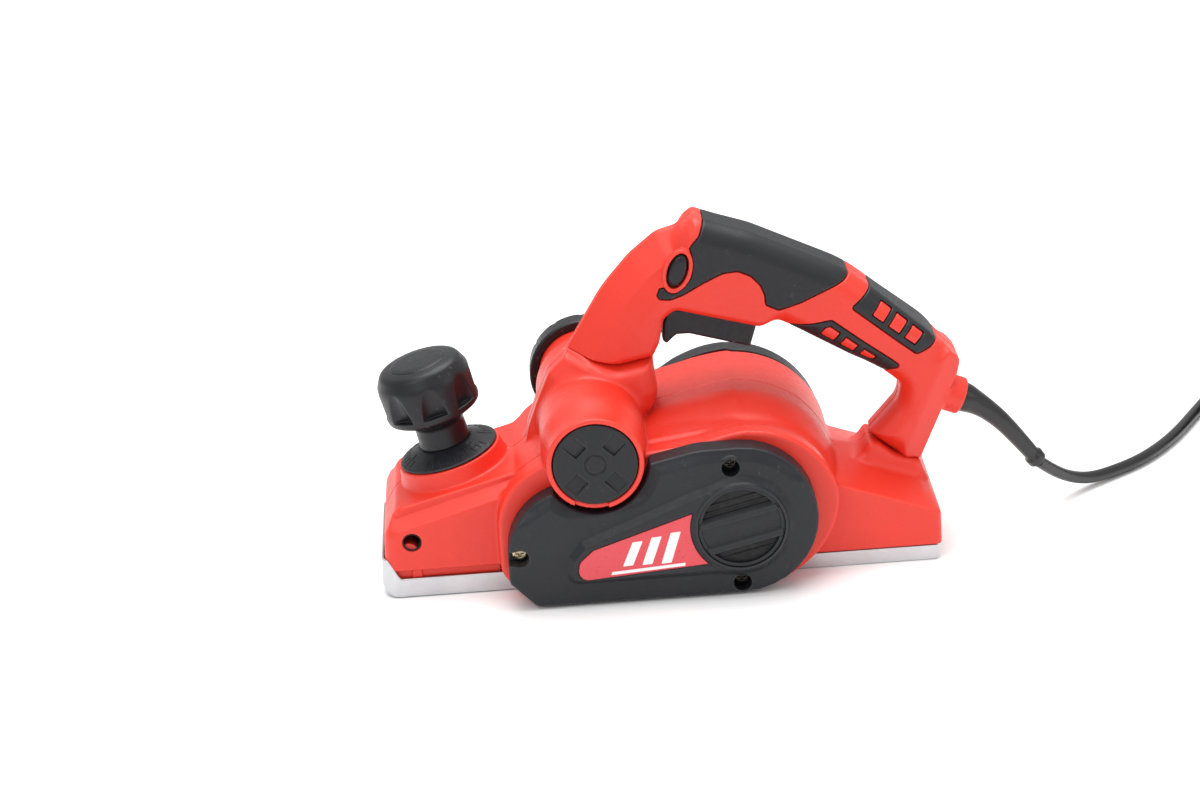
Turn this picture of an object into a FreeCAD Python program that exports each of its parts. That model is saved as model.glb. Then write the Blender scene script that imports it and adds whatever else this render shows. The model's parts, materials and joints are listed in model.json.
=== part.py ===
import FreeCAD, Part
import os
import re
from math import atan2, cos, pi, radians, sin, tan
from types import SimpleNamespace

# An electric hand planer. Millimetres. +X points to the rear, where the cord leaves; +Y to the side away
# from the belt cover; +Z up. The origin is the middle of the sole's underside, on the rear sole's plane.

Vector = FreeCAD.Vector
doc = FreeCAD.newDocument("HandPlaner")

SIZES = {
    # soles
    "sole_length": 280, "sole_width": 82, "sole_thick": 7.5, "shoe_thick": 10, "shoe_end": -73,
    "lip_end": -64, "lip_thick": 5.5, "rear_sole_front": -19, "nose_radius": 7.5,
    # cutter drum
    "drum_x": -42, "drum_z": 28, "cutting_radius": 28, "drum_radius": 26.4, "drum_length": 76,
    "drum_shaft_radius": 4, "blade_length": 75.5, "blade_width": 5.5, "blade_thick": 1.1,
    "chamber_radius": 30, "chamber_wall": 2.5,
    # motor
    "motor_x": 40, "motor_z": 41, "rotor_shaft_radius": 4, "armature_radius": 19, "armature_length": 44,
    "stator_radius": 38, "stator_half_height": 29, "stator_bore": 19.5, "fan_radius": 29,
    "commutator_radius": 13,
    "cap_x": 42, "cap_z": 39, "cap_start": 42,
    # belt drive
    "belt_middle": -60.5, "belt_width": 9, "motor_pulley": 9, "drum_pulley": 15, "belt_thick": 2.2,
    # shells
    "wall": 3, "body_half_width": 41, "hump_x": 43, "hump_z": 38, "hump_radius": 50,
    "flange_face": -52, "cover_face": -69.5, "cover_wall": 2.5, "vent_x": 39.4, "vent_z": 38.2,
    "neck_half_width": 19,
    "handle_half_width": 17, "stub_half_width": 15,
    # chip outlet
    "port_x": -30.3, "port_z": 76, "port_boss_radius": 24, "port_bore_radius": 21.9, "port_near": -68,
    "port_far": 62, "duct_radius": 18,
    # depth adjuster
    "knob_x": -102.6, "knob_z": 61, "knob_tilt": 14, "seat_radius": 26.5, "dial_radius": 25.5,
    "knob_radius": 24.5, "neck_radius": 13.3, "stud_radius": 6,
    # trigger and lock-off button
    "trigger_half_width": 7.5, "pivot_x": 52.5, "pivot_z": 127, "button_x": 17, "button_z": 154,
    "button_tilt": 20, "button_width": 8.5, "button_height": 18, "button_reach": 18.5,
    # cord
    "cord_diameter": 6.4, "coil_radius": 35, "coil_x": 364, "coil_y": 132,
}
sheet = doc.addObject("Spreadsheet::Sheet", "Sizes")
for row, (alias, number) in enumerate(SIZES.items(), 1):
    sheet.set(f"A{row}", alias)
    sheet.set(f"B{row}", str(number))
    sheet.setAlias(f"B{row}", alias)
doc.recompute()
size = SimpleNamespace(**SIZES)

ALONG_Z = FreeCAD.Rotation()
ALONG_Y = FreeCAD.Rotation(Vector(1, 0, 0), -90)
KNOB_TURN = FreeCAD.Rotation(Vector(0, 1, 0), -size.knob_tilt)
KNOB_AXIS = KNOB_TURN.multVec(Vector(0, 0, 1))
KNOB_BASE = Vector(size.knob_x, 0, size.knob_z)
NODES = {}


# ---------------------------------------------------------------- helpers

def formula(value):
    """An expression for a property: a text names cells of the sheet, a number stands for itself."""
    if not isinstance(value, str):
        return str(value)
    return re.sub(r"[a-z_]{2,}", lambda found: "Sizes." + found.group(), value)


def primitive(kind, name, at, turn=ALONG_Z, **sizes):
    """A Part primitive with its sizes and its place bound to the sheet."""
    item = doc.addObject("Part::" + kind, name)
    item.Placement = FreeCAD.Placement(Vector(), turn)
    for prop, value in sizes.items():
        item.setExpression(prop, formula(value))
    for axis, value in zip("xyz", at):
        item.setExpression("Placement.Base." + axis, formula(value))
    return item


def rod(name, x, z, y_from, y_to, radius):
    """A cylinder along Y."""
    height = f"( {y_to} ) - ( {y_from} )"
    return primitive("Cylinder", name, (x, y_from, z), ALONG_Y, Radius=radius, Height=height)


def knob_point(along, across=0, y=0):
    """A point in the depth adjuster's own frame: along its axis, across it to the rear, and sideways."""
    return KNOB_BASE + KNOB_TURN.multVec(Vector(across, y, along))


def knob_rod(name, start, end, radius, across=0, y=0):
    """A cylinder parallel to the depth adjuster's axis."""
    item = doc.addObject("Part::Cylinder", name)
    item.Placement = FreeCAD.Placement(knob_point(start, across, y), KNOB_TURN)
    item.setExpression("Radius", formula(radius))
    item.Height = end - start
    return item


def cut(name, base, *tools):
    result = doc.addObject("Part::Cut", name)
    result.Base = base
    result.Tool = tools[0] if len(tools) == 1 else fuse(name + "Tools", *tools)
    result.Refine = False
    return result


def fuse(name, *shapes):
    result = doc.addObject("Part::MultiFuse", name)
    result.Shapes = list(shapes)
    return result


def common(name, base, tool):
    result = doc.addObject("Part::Common", name)
    result.Base, result.Tool = base, tool
    result.Refine = False
    return result


def rounded(corners):
    """Lines and arcs of a closed outline, from its corners (x, z, radius)."""
    count = len(corners)
    ends = []
    for i, (x, z, radius) in enumerate(corners):
        here = Vector(x, z, 0)
        before = Vector(*corners[i - 1][:2], 0) - here
        after = Vector(*corners[(i + 1) % count][:2], 0) - here
        half = before.getAngle(after) / 2
        if radius == 0 or abs(half - pi / 2) < 0.01:
            ends.append((here, None, here))
            continue
        reach = radius / tan(half)
        first = here + before.normalize() * reach
        last = here + after.normalize() * reach
        middle = (before + after).normalize()
        top = here + middle * (radius / sin(half) - radius)
        ends.append((first, top, last))
    pieces = []
    for i in range(count):
        first, top, last = ends[i]
        if top:
            pieces.append(Part.Arc(first, top, last))
        start = ends[(i + 1) % count][0]
        if (start - last).Length > 1e-6:
            pieces.append(Part.LineSegment(last, start))
    return pieces


def grown(corners, by):
    """The lines and arcs of a rounded outline, moved outwards."""
    wire = Part.Wire([piece.toShape() for piece in rounded(corners)]).makeOffset2D(by)
    pieces = []
    for edge in wire.OrderedEdges:
        first, last = edge.valueAt(edge.FirstParameter), edge.valueAt(edge.LastParameter)
        if isinstance(edge.Curve, Part.Circle):
            middle = edge.valueAt((edge.FirstParameter + edge.LastParameter) / 2)
            pieces.append(Part.Arc(first, middle, last))
        else:
            pieces.append(Part.LineSegment(first, last))
    return pieces


def plate(name, corners, y_from, y_to):
    """A PartDesign body: an outline in the XZ plane, as corners or curves, padded from y_from to y_to."""
    body = doc.addObject("PartDesign::Body", name)
    sketch = body.newObject("Sketcher::SketchObject", name + "Outline")
    plane = next(f for f in body.Origin.OriginFeatures if f.Role == "XZ_Plane")
    sketch.AttachmentSupport = [(plane, "")]
    sketch.MapMode = "FlatFace"
    for piece in corners if hasattr(corners[0], "toShape") else rounded(corners):
        sketch.addGeometry(piece)
    pad = body.newObject("PartDesign::Pad", name + "Pad")
    pad.Profile = sketch
    pad.setExpression("Length", formula(f"( {y_to} ) - ( {y_from} )"))
    body.setExpression("Placement.Base.y", formula(y_to))
    return body


def turned(name, profile, axis_place):
    """A PartDesign body: a half profile (radius, along) revolved about its own Z axis, then placed."""
    body = doc.addObject("PartDesign::Body", name)
    sketch = body.newObject("Sketcher::SketchObject", name + "Profile")
    plane = next(f for f in body.Origin.OriginFeatures if f.Role == "XZ_Plane")
    sketch.AttachmentSupport = [(plane, "")]
    sketch.MapMode = "FlatFace"
    for piece in rounded(profile):
        sketch.addGeometry(piece)
    spin = body.newObject("PartDesign::Revolution", name + "Spin")
    spin.Profile = sketch
    spin.ReferenceAxis = (sketch, ["V_Axis"])
    spin.Angle = 360
    body.Placement = axis_place
    return body


def node(label, item):
    item.Label = label
    NODES[label] = item
    return item


def along_y(x, z, y=0):
    return FreeCAD.Placement(Vector(x, y, z), ALONG_Y)


# ---------------------------------------------------------------- outlines

BODY_OUTLINE = [
    (-139, 14.5, 1.5), (-137.5, 33, 12), (-130.5, 45, 6), (-70, 60.5, 6), (-56, 71.5, 8), (-8, 73.5, 6),
    (12, 76.8, 10), (40, 80.3, 10), (75, 66, 5), (86.5, 52.8, 6), (111, 48, 12), (134, 39, 8),
    (142, 25, 6), (142.5, 7.7, 1), (-17, 7.7, 1), (-17, 14.5, 1),
]
BODY_HOLLOW = [
    (-134.5, 17.5, 1), (-134, 32, 4), (-128, 42.6, 2), (-69, 57.6, 3), (-55, 68.5, 6), (-8, 70.5, 5),
    (12, 73.6, 8), (40, 77, 8), (73, 63, 4), (85, 49.8, 6), (108, 40, 9), (130, 31, 6),
    (138, 24, 4), (139, 10.7, 1), (-14, 10.7, 1), (-14, 17.5, 1),
]
NECK_OUTLINE = [
    (-66, 55, 0), (-61.5, 74, 8), (-56.8, 86, 20), (-49.8, 101.8, 12), (-41, 110, 8), (-39.5, 113.2, 0),
    (-31, 110.2, 10), (-16, 106.2, 20), (3, 109.7, 0), (3.2, 102, 5), (4.5, 91, 8), (1.5, 82, 8),
    (-6, 76, 3), (-6, 55, 0),
]
NECK_HOLLOW = [
    (-61, 57, 0), (-57.5, 73, 6), (-53.5, 85, 16), (-46.5, 100, 8), (-37, 109.5, 4), (-37, 125, 0),
    (0, 125, 0), (0, 100, 4), (1.4, 91, 5), (-2, 83, 5), (-9, 77, 2), (-9, 57, 0),
]
STUB_OUTLINE = [
    (104, 48, 0), (110.9, 57.4, 0), (115.2, 52.8, 4), (122.6, 46.8, 8), (135.4, 42, 0), (139, 32, 0),
    (112, 32, 0),
]
HANDLE_OUTLINE = [
    (-39.5, 113.2, 0), (-20.5, 143.5, 80), (-6, 159.5, 40), (8, 170.5, 14), (18, 173, 8), (27, 179.6, 4),
    (38, 175.2, 20), (55, 169.3, 60), (102, 146.2, 80), (140, 113.3, 60), (157.4, 95, 6), (155.6, 86, 14),
    (136.2, 42, 0), (122.6, 46.9, 8), (115.2, 52.9, 4),
    (110.9, 57.6, 0), (125.8, 74, 12), (127, 83, 6), (118, 91, 6), (76, 117, 6), (65, 123.4, 7),
    (56.5, 121.3, 8), (15, 133.4, 5),
    (9.3, 129, 5), (6.5, 116.4, 12), (3, 109.8, 0), (-16, 106.3, 20), (-31, 110.3, 10),
]
HANDLE_HOLLOW = [
    (-34.5, 115, 2), (-17.8, 142, 60), (-4, 157, 30), (9, 167.2, 10), (19, 169.8, 6), (27, 175.6, 3),
    (36.5, 172, 14), (54, 166.2, 50), (100.5, 143.6, 60), (137.8, 111.3, 50), (153.4, 94, 4), (152, 87, 10),
    (134.2, 47.3, 1), (124, 50, 3), (115.8, 57.6, 2), (129, 73.5, 10),
    (130.2, 84.5, 6), (119.5, 93.8, 6), (77.5, 120, 6), (66, 127, 4), (16, 136.8, 4), (6.5, 131, 4), (3.5, 117, 8),
    (0, 111, 1), (-16, 109, 12), (-30, 112.6, 6),
]
FLANGE_OUTLINE = [
    (-80.3, 14, 14), (-80.3, 64, 36), (-50, 72.5, 12), (-8, 72.9, 10), (20, 76.3, 20), (45, 80.2, 0),
    (60, 60, 0), (60, 1.5, 0), (-71, 1.5, 3),
]
CREST_OUTLINE = [
    (-12, 68, 0), (-12, 75.5, 3), (5, 81.1, 10), (24.6, 85.9, 12), (43, 88, 0), (60, 70, 0),
]


COVER_OUTLINE = [
    (-76.3, 15, 5), (-76.3, 61.8, 34.2), (-26, 61.8, 4), (-12, 71, 4), (20, 77.8, 40), (78, 77.8, 38.1),
    (78, 1.5, 38.1), (-63.5, 1.5, 4),
]
COVER_HOLLOW = [
    (-73.8, 16, 3), (-73.8, 59.3, 31.7), (-27, 59.3, 4), (-12, 68.5, 4), (20, 75.3, 38), (75.5, 75.3, 35.6),
    (75.5, 4, 35.6), (-62.4, 4, 2),
]


# ---------------------------------------------------------------- soles, frame and cutter drum

def front_shoe():
    """The movable front sole: a plate with a turned-up nose, V grooves, guide pins and the lift stud."""
    half = size.sole_length / 2
    top, lip = size.shoe_thick, size.lip_thick
    nose = size.nose_radius
    shape = plate("ShoePlate", [
        (-half, 0, nose), (-half, top, 1), (size.shoe_end, top, 1), (size.shoe_end, lip, 0),
        (size.lip_end, lip, 0), (size.lip_end + 1, 0, 0),
    ], "-sole_width / 2", "sole_width / 2")
    grooves = []
    for k, y in enumerate((-26, 0, 26)):
        depth = 2.6 if y == 0 else 0.9
        groove = primitive("Box", f"ShoeGroove{k}", ("-sole_length / 2 - 1", y, -depth),
                           FreeCAD.Rotation(Vector(1, 0, 0), 45), Length="sole_length / 2",
                           Width=depth * 2, Height=depth * 2)
        grooves.append(groove)
    node("front_shoe", cut("ShoeGrooved", shape, *grooves))
    pins = [knob_rod(f"GuidePin{k}", -53, -37, 3, 0, y) for k, y in enumerate((-27, 27))]
    node("guide_pins", cut("GuidePins", fuse("GuidePinPair", *pins), plate("PinTrim", [
        (-half, -10, 0), (-half, top, 0), (size.shoe_end, top, 0), (size.shoe_end, -10, 0),
    ], "-sole_width / 2", "sole_width / 2")))
    node("shoe_stud", knob_rod("ShoeStud", -50, 12, "stud_radius"))
    outer = knob_rod("SpringOuter", -40.5, -25, 10.5)
    node("shoe_spring", cut("SpringRing", outer, knob_rod("SpringInner", -41, -24, 8.5)))


def base_frame():
    """The cast frame: rear sole, two cheeks that hold the drum's bearings, and the chip chamber's roof."""
    half = size.sole_length / 2
    sole = plate("RearSole", [
        (size.rear_sole_front, 0, 0), (size.rear_sole_front + 3, size.sole_thick, 0),
        (half, size.sole_thick, 1), (half, 0, 2),
    ], "-sole_width / 2", "sole_width / 2")
    cheek_outline = [
        (-74, 14.2, 2), (-74, 60, 30), (-10, 60, 30), (-10, 7.4, 0), (0, 7.4, 0), (0, 1, 0), (-18, 1, 0),
        (-24, 14.2, 4),
    ]
    cheeks = [
        plate("NearCheek", cheek_outline, "-body_half_width", "-body_half_width + 2.5"),
        plate("FarCheek", cheek_outline, "body_half_width - 2.5", "body_half_width"),
    ]
    roof_outer = rod("RoofOuter", "drum_x", "drum_z", "-body_half_width + 2", "body_half_width - 2",
                     "chamber_radius + chamber_wall")
    roof_inner = rod("RoofInner", "drum_x", "drum_z", "-body_half_width", "body_half_width", "chamber_radius")
    below = primitive("Box", "BelowRoof", (-90, -45, -10), Length=100, Width=90, Height=26)
    outlet = primitive("Box", "RoofOutlet", ("port_x - 16", -30, "drum_z"), Length=32, Width=60, Height=50)
    roof = cut("Roof", roof_outer, roof_inner, below, outlet)
    near_boss = rod("NearBoss", "drum_x", "drum_z", "-50", "-body_half_width + 1", 15)
    far_boss = rod("FarBoss", "drum_x", "drum_z", "31.5", "body_half_width - 1", 15.5)
    near_seat = rod("NearSeat", "drum_x", "drum_z", "-51", "-42.5", 11)
    far_seat = rod("FarSeat", "drum_x", "drum_z", "30", "39", 11)
    passage = rod("ShaftPassage", "drum_x", "drum_z", "-60", "38", 6)
    frame = fuse("FrameBlank", sole, *cheeks, roof, near_boss, far_boss)
    node("base_frame", cut("BaseFrame", frame, near_seat, far_seat, passage))
    bearings = [
        ball_bearing("NearDrumBearing", "drum_x", "drum_z", -50, 4, 11),
        ball_bearing("FarDrumBearing", "drum_x", "drum_z", 31.8, 4, 11),
    ]
    node("drum_bearings", fuse("DrumBearings", *bearings))


def ball_bearing(name, x, z, y, bore, radius):
    """A 7 mm wide ball bearing as a ring with a shallow groove between its races."""
    outer = rod(name + "Outer", x, z, f"{y}", f"{y + 7}", radius)
    inner = rod(name + "Inner", x, z, f"{y - 1}", f"{y + 8}", bore + 0.05)
    middle = (bore + radius) / 2
    race = cut(name + "Race", rod(name + "RaceOuter", x, z, f"{y - 1}", f"{y + 0.6}", middle + 1.4),
               rod(name + "RaceInner", x, z, f"{y - 2}", f"{y + 1}", middle - 1.4))
    return cut(name, outer, inner, race)


def cutter_drum():
    """The drum with its shaft, two blades, their clamps and the clamp screws."""
    core = rod("DrumCore", "drum_x", "drum_z", "-drum_length / 2", "drum_length / 2", "drum_radius")
    shaft = rod("DrumShaft", "drum_x", "drum_z", "-66", "38.6", "drum_shaft_radius")
    cup = cut("DrumCup", rod("CupOuter", "drum_x", "drum_z", "30", "40", 17),
              rod("CupInner", "drum_x", "drum_z", "29", "41", "drum_shaft_radius"))
    slots, blades, clamps, screws = [], [], [], []
    for k in range(2):
        turn = FreeCAD.Rotation(Vector(0, 1, 0), 180 * k + 40)
        centre = Vector(size.drum_x, 0, size.drum_z)

        def block(name, x, z, length, height, half, turn=turn, centre=centre):
            """A box in the drum's turning frame, from -half to half along Y."""
            item = doc.addObject("Part::Box", name)
            item.Length, item.Width, item.Height = length, half * 2, height
            item.Placement = FreeCAD.Placement(centre + turn.multVec(Vector(x, -half, z)), turn)
            return item

        slots.append(block(f"DrumSlot{k}", -4, 13, 12, 20, 40))
        blade_half = size.blade_length / 2
        tip = (size.cutting_radius**2 - 4) ** 0.5
        blades.append(block(f"Blade{k}", -3, tip - size.blade_width, size.blade_thick, size.blade_width,
                            blade_half))
        clamps.append(block(f"ClampBar{k}", -1.85, 13.1, 9.6, 11, 37))
        clamps.append(block(f"BladeSeat{k}", -3.95, 13.1, 2.05, 7.6, 37))
        for row, y in enumerate((-25, 0, 25)):
            screw = doc.addObject("Part::Cylinder", f"ClampScrew{k}{row}")
            screw.Radius, screw.Height = 3, 5
            screw.Placement = FreeCAD.Placement(centre + turn.multVec(Vector(2.5, y, 22)), turn)
            socket = block(f"ClampSocket{k}{row}", 0.3, 24.6, 4.4, 3, 1.1)
            socket.Placement.Base += Vector(0, y, 0)
            screws.append(cut(f"ClampScrewCut{k}{row}", screw, socket))
    node("cutter_drum", cut("CutterDrum", fuse("DrumBlank", core, shaft), cup, *slots))
    node("cutter_blades", fuse("CutterBlades", *blades))
    pockets = []
    for k in range(2):
        turn = FreeCAD.Rotation(Vector(0, 1, 0), 180 * k + 40)
        for row, y in enumerate((-25, 0, 25)):
            pocket = doc.addObject("Part::Cylinder", f"ScrewPocket{k}{row}")
            pocket.Radius, pocket.Height = 3, 8
            pocket.Placement = FreeCAD.Placement(
                Vector(size.drum_x, 0, size.drum_z) + turn.multVec(Vector(2.5, y, 22)), turn)
            pockets.append(pocket)
    room = rod("ClampRoom", "drum_x", "drum_z", "30", "41", 17)
    node("blade_clamps", cut("BladeClamps", fuse("ClampBars", *clamps), *pockets, room))
    node("clamp_screws", fuse("ClampScrews", *screws))


# ---------------------------------------------------------------- motor and belt drive

def motor():
    x, z = "motor_x", "motor_z"
    node("rotor_shaft", rod("RotorShaft", x, z, "-66", "56", "rotor_shaft_radius"))
    start, end = -8, -8 + size.armature_length
    core = rod("ArmatureCore", x, z, f"{start}", f"{end}", "armature_radius")
    bore = rod("ArmatureBore", x, z, f"{start - 12}", f"{end + 12}", "rotor_shaft_radius")
    winding_near = rod("WindingNear", x, z, f"{start - 8}", f"{start}", 16)
    winding_far = rod("WindingFar", x, z, f"{end}", f"{end + 0.4}", 15)
    slots = []
    for k in range(12):
        slot = doc.addObject("Part::Box", f"ArmatureSlot{k}")
        slot.Length, slot.Width, slot.Height = 2, size.armature_length + 2, 4
        turn = FreeCAD.Rotation(Vector(0, 1, 0), 30 * k)
        centre = Vector(size.motor_x, start - 1, size.motor_z)
        corner = turn.multVec(Vector(-1, 0, size.armature_radius - 1.5))
        slot.Placement = FreeCAD.Placement(centre + corner, turn)
        slots.append(slot)
    blank = fuse("ArmatureBlank", core, winding_near, winding_far)
    node("armature", cut("Armature", blank, bore, *slots))
    commutator_blank = rod("CommutatorBlank", x, z, "36.5", "48.5", "commutator_radius")
    commutator_bore = rod("CommutatorBore", x, z, "36", "49", "rotor_shaft_radius")
    node("commutator", cut("Commutator", commutator_blank, commutator_bore))
    hub = rod("FanHub", x, z, "-30", "-18", 9)
    disc = rod("FanDisc", x, z, "-20", "-18", "fan_radius")
    blades = []
    for k in range(12):
        blade = doc.addObject("Part::Box", f"FanBlade{k}")
        blade.Length, blade.Width, blade.Height = 1.6, 10.5, size.fan_radius - 9
        turn = FreeCAD.Rotation(Vector(0, 1, 0), 30 * k)
        blade.Placement = FreeCAD.Placement(
            Vector(size.motor_x, -30, size.motor_z) + turn.multVec(Vector(-0.8, 0, 8.5)), turn)
        blades.append(blade)
    fan_bore = rod("FanBore", x, z, "-31", "-17", "rotor_shaft_radius")
    node("cooling_fan", cut("CoolingFan", fuse("FanBlank", hub, disc, *blades), fan_bore))
    round_stack = rod("StatorRound", x, z, "-9", "35", "stator_radius")
    flats = primitive("Box", "StatorFlats", ("motor_x - 50", -9, "motor_z - stator_half_height"), Length=100,
                      Width=44, Height="stator_half_height * 2")
    hole = rod("StatorBore", x, z, "-10", "36", "stator_bore")
    windows = [
        primitive("Box", f"StatorWindow{k}", (f"motor_x + {dx}", -10, "motor_z - 13"), Length=8, Width=46,
                  Height=26)
        for k, dx in enumerate((-31, 23))
    ]
    node("stator", cut("Stator", common("StatorBlank", round_stack, flats), hole, *windows))
    bearings = [
        ball_bearing("NearRotorBearing", x, z, -49, 4, 11),
        ball_bearing("FarRotorBearing", x, z, 49.5, 4, 11),
    ]
    node("rotor_bearings", fuse("RotorBearings", *bearings))
    brushes, holders = [], []
    for k, side in enumerate((-1, 1)):
        rise = size.commutator_radius + 0.05 if side > 0 else -size.commutator_radius - 14.05
        start_z = size.motor_z + rise
        brush = primitive("Box", f"Brush{k}", ("motor_x - 3", 39.5, start_z), Length=6, Width=7, Height=14)
        brushes.append(brush)
        low = size.motor_z + (15 if side > 0 else -31)
        tube = primitive("Box", f"HolderTube{k}", ("motor_x - 5", 37.5, low), Length=10, Width=11, Height=16)
        bore = primitive("Box", f"HolderBore{k}", ("motor_x - 3.05", 39.45, low - 1), Length=6.1, Width=7.1,
                         Height=20)
        holders.append(cut(f"BrushHolder{k}", tube, bore))
    node("carbon_brushes", fuse("CarbonBrushes", *brushes))
    node("brush_holders", fuse("BrushHolders", *holders))


def motor_end_cap():
    """The dark cap over the motor's far end, with the bearing seat and four screws."""
    profile = [
        (0, 18, 0), (36, 18, 8), (46.5, 12, 6), (47, 0, 0),
        (44.4, 0, 0), (43.9, 10.8, 5), (35, 15, 4), (0, 15, 0),
    ]
    dome = turned("CapDome", profile, along_y(size.cap_x, size.cap_z, size.cap_start))
    seat = cut("CapSeat", rod("CapSeatOuter", "motor_x", "motor_z", "49", "58", 13.5),
               rod("CapSeatInner", "motor_x", "motor_z", "48", "57", 11.02))
    cap = fuse("CapBlank", dome, seat)
    slits = []
    for k in range(7):
        height = size.motor_z + 22 - 7 * k
        start = ("motor_x + 18", 52, height)
        slits.append(primitive("Box", f"CapSlit{k}", start, Length=16, Width=12, Height=2.4))
    holes = [
        rod(f"CapScrewHole{k}", f"motor_x + {34 * cos(a):.3f}", f"motor_z + {34 * sin(a):.3f}", "55.5", "64", 4)
        for k, a in enumerate(radians(45 + 90 * q) for q in range(4))
    ]
    below = primitive("Box", "BelowCap", (-20, 40, -20), Length=130, Width=30, Height="20 + sole_thick + 0.6")
    node("motor_end_cap", cut("MotorEndCap", cap, below, *slits, *holes))
    screws = []
    for k, a in enumerate(radians(45 + 90 * q) for q in range(4)):
        x, z = size.motor_x + 34 * cos(a), size.motor_z + 34 * sin(a)
        screws.append(screw(f"CapScrew{k}", x, z, 55.5, 1, 2, 3.6, 11))
    node("end_cap_screws", fuse("EndCapScrews", *screws))


def screw(name, x, z, y, side, radius, head, length):
    """A pan-head screw along Y with a cross recess. Its head stands on y, towards side."""
    low = y if side > 0 else y - 2.2
    head_part = rod(name + "Head", x, z, f"{low}", f"{low + 2.2}", head)
    shank_low = y - length if side > 0 else y
    shank = rod(name + "Shank", x, z, f"{shank_low}", f"{shank_low + length}", radius)
    bars = []
    for k, (wide, tall) in enumerate(((head * 1.1, 0.9), (0.9, head * 1.1))):
        bar_y = y + 1.2 if side > 0 else y - 3.2
        start = (x - wide / 2, bar_y, z - tall / 2)
        bars.append(primitive("Box", f"{name}Bar{k}", start, Length=wide, Width=2, Height=tall))
    return cut(name, fuse(name + "Blank", head_part, shank), *bars)


def belt_drive():
    """Two toothed pulleys and the belt round them, behind the cover."""
    low, high = "belt_middle - belt_width / 2 - 0.5", "belt_middle + belt_width / 2 + 0.5"
    for label, name, x, z, radius, count in (
        ("drive_pulley", "DrivePulley", "motor_x", "motor_z", size.motor_pulley, 12),
        ("drum_pulley", "DrumPulley", "drum_x", "drum_z", size.drum_pulley, 20),
    ):
        centre_x, centre_z = getattr(size, x), getattr(size, z)
        wheel = rod(name + "Wheel", x, z, low, high, radius)
        hub = rod(name + "Hub", x, z, "-66", "-53", 7.5)
        bore = rod(name + "Bore", x, z, "-67", "-50", 4)
        grooves = [
            rod(f"{name}Groove{k}", f"{centre_x + radius * cos(2 * pi * k / count):.3f}",
                f"{centre_z + radius * sin(2 * pi * k / count):.3f}", "-70", "-50", 0.9)
            for k in range(count)
        ]
        node(label, cut(name, fuse(name + "Blank", wheel, hub), bore, *grooves))
    inner = (size.motor_pulley + 0.15, size.drum_pulley + 0.15)
    outer = [radius + size.belt_thick for radius in inner]
    loops = [
        plate("BeltOuter", belt_loop(*outer), "belt_middle - belt_width / 2", "belt_middle + belt_width / 2"),
        plate("BeltInner", belt_loop(*inner), "belt_middle - belt_width", "belt_middle + belt_width"),
    ]
    node("drive_belt", cut("DriveBelt", *loops))


def belt_loop(small, large):
    """The belt's loop: an arc on each pulley and the two lines that touch both."""
    motor_at = Vector(size.motor_x, size.motor_z, 0)
    drum_at = Vector(size.drum_x, size.drum_z, 0)
    between = drum_at - motor_at
    heading = atan2(between.y, between.x)
    lean = pi / 2 + (large - small) / between.Length

    def on(centre, radius, angle):
        return centre + Vector(radius * cos(angle), radius * sin(angle), 0)

    up, down = heading - lean, heading + lean
    return [
        Part.Arc(on(drum_at, large, up), on(drum_at, large, heading), on(drum_at, large, down)),
        Part.LineSegment(on(drum_at, large, down), on(motor_at, small, down)),
        Part.Arc(on(motor_at, small, down), on(motor_at, small, heading + pi), on(motor_at, small, up)),
        Part.LineSegment(on(motor_at, small, up), on(drum_at, large, up)),
    ]


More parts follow.
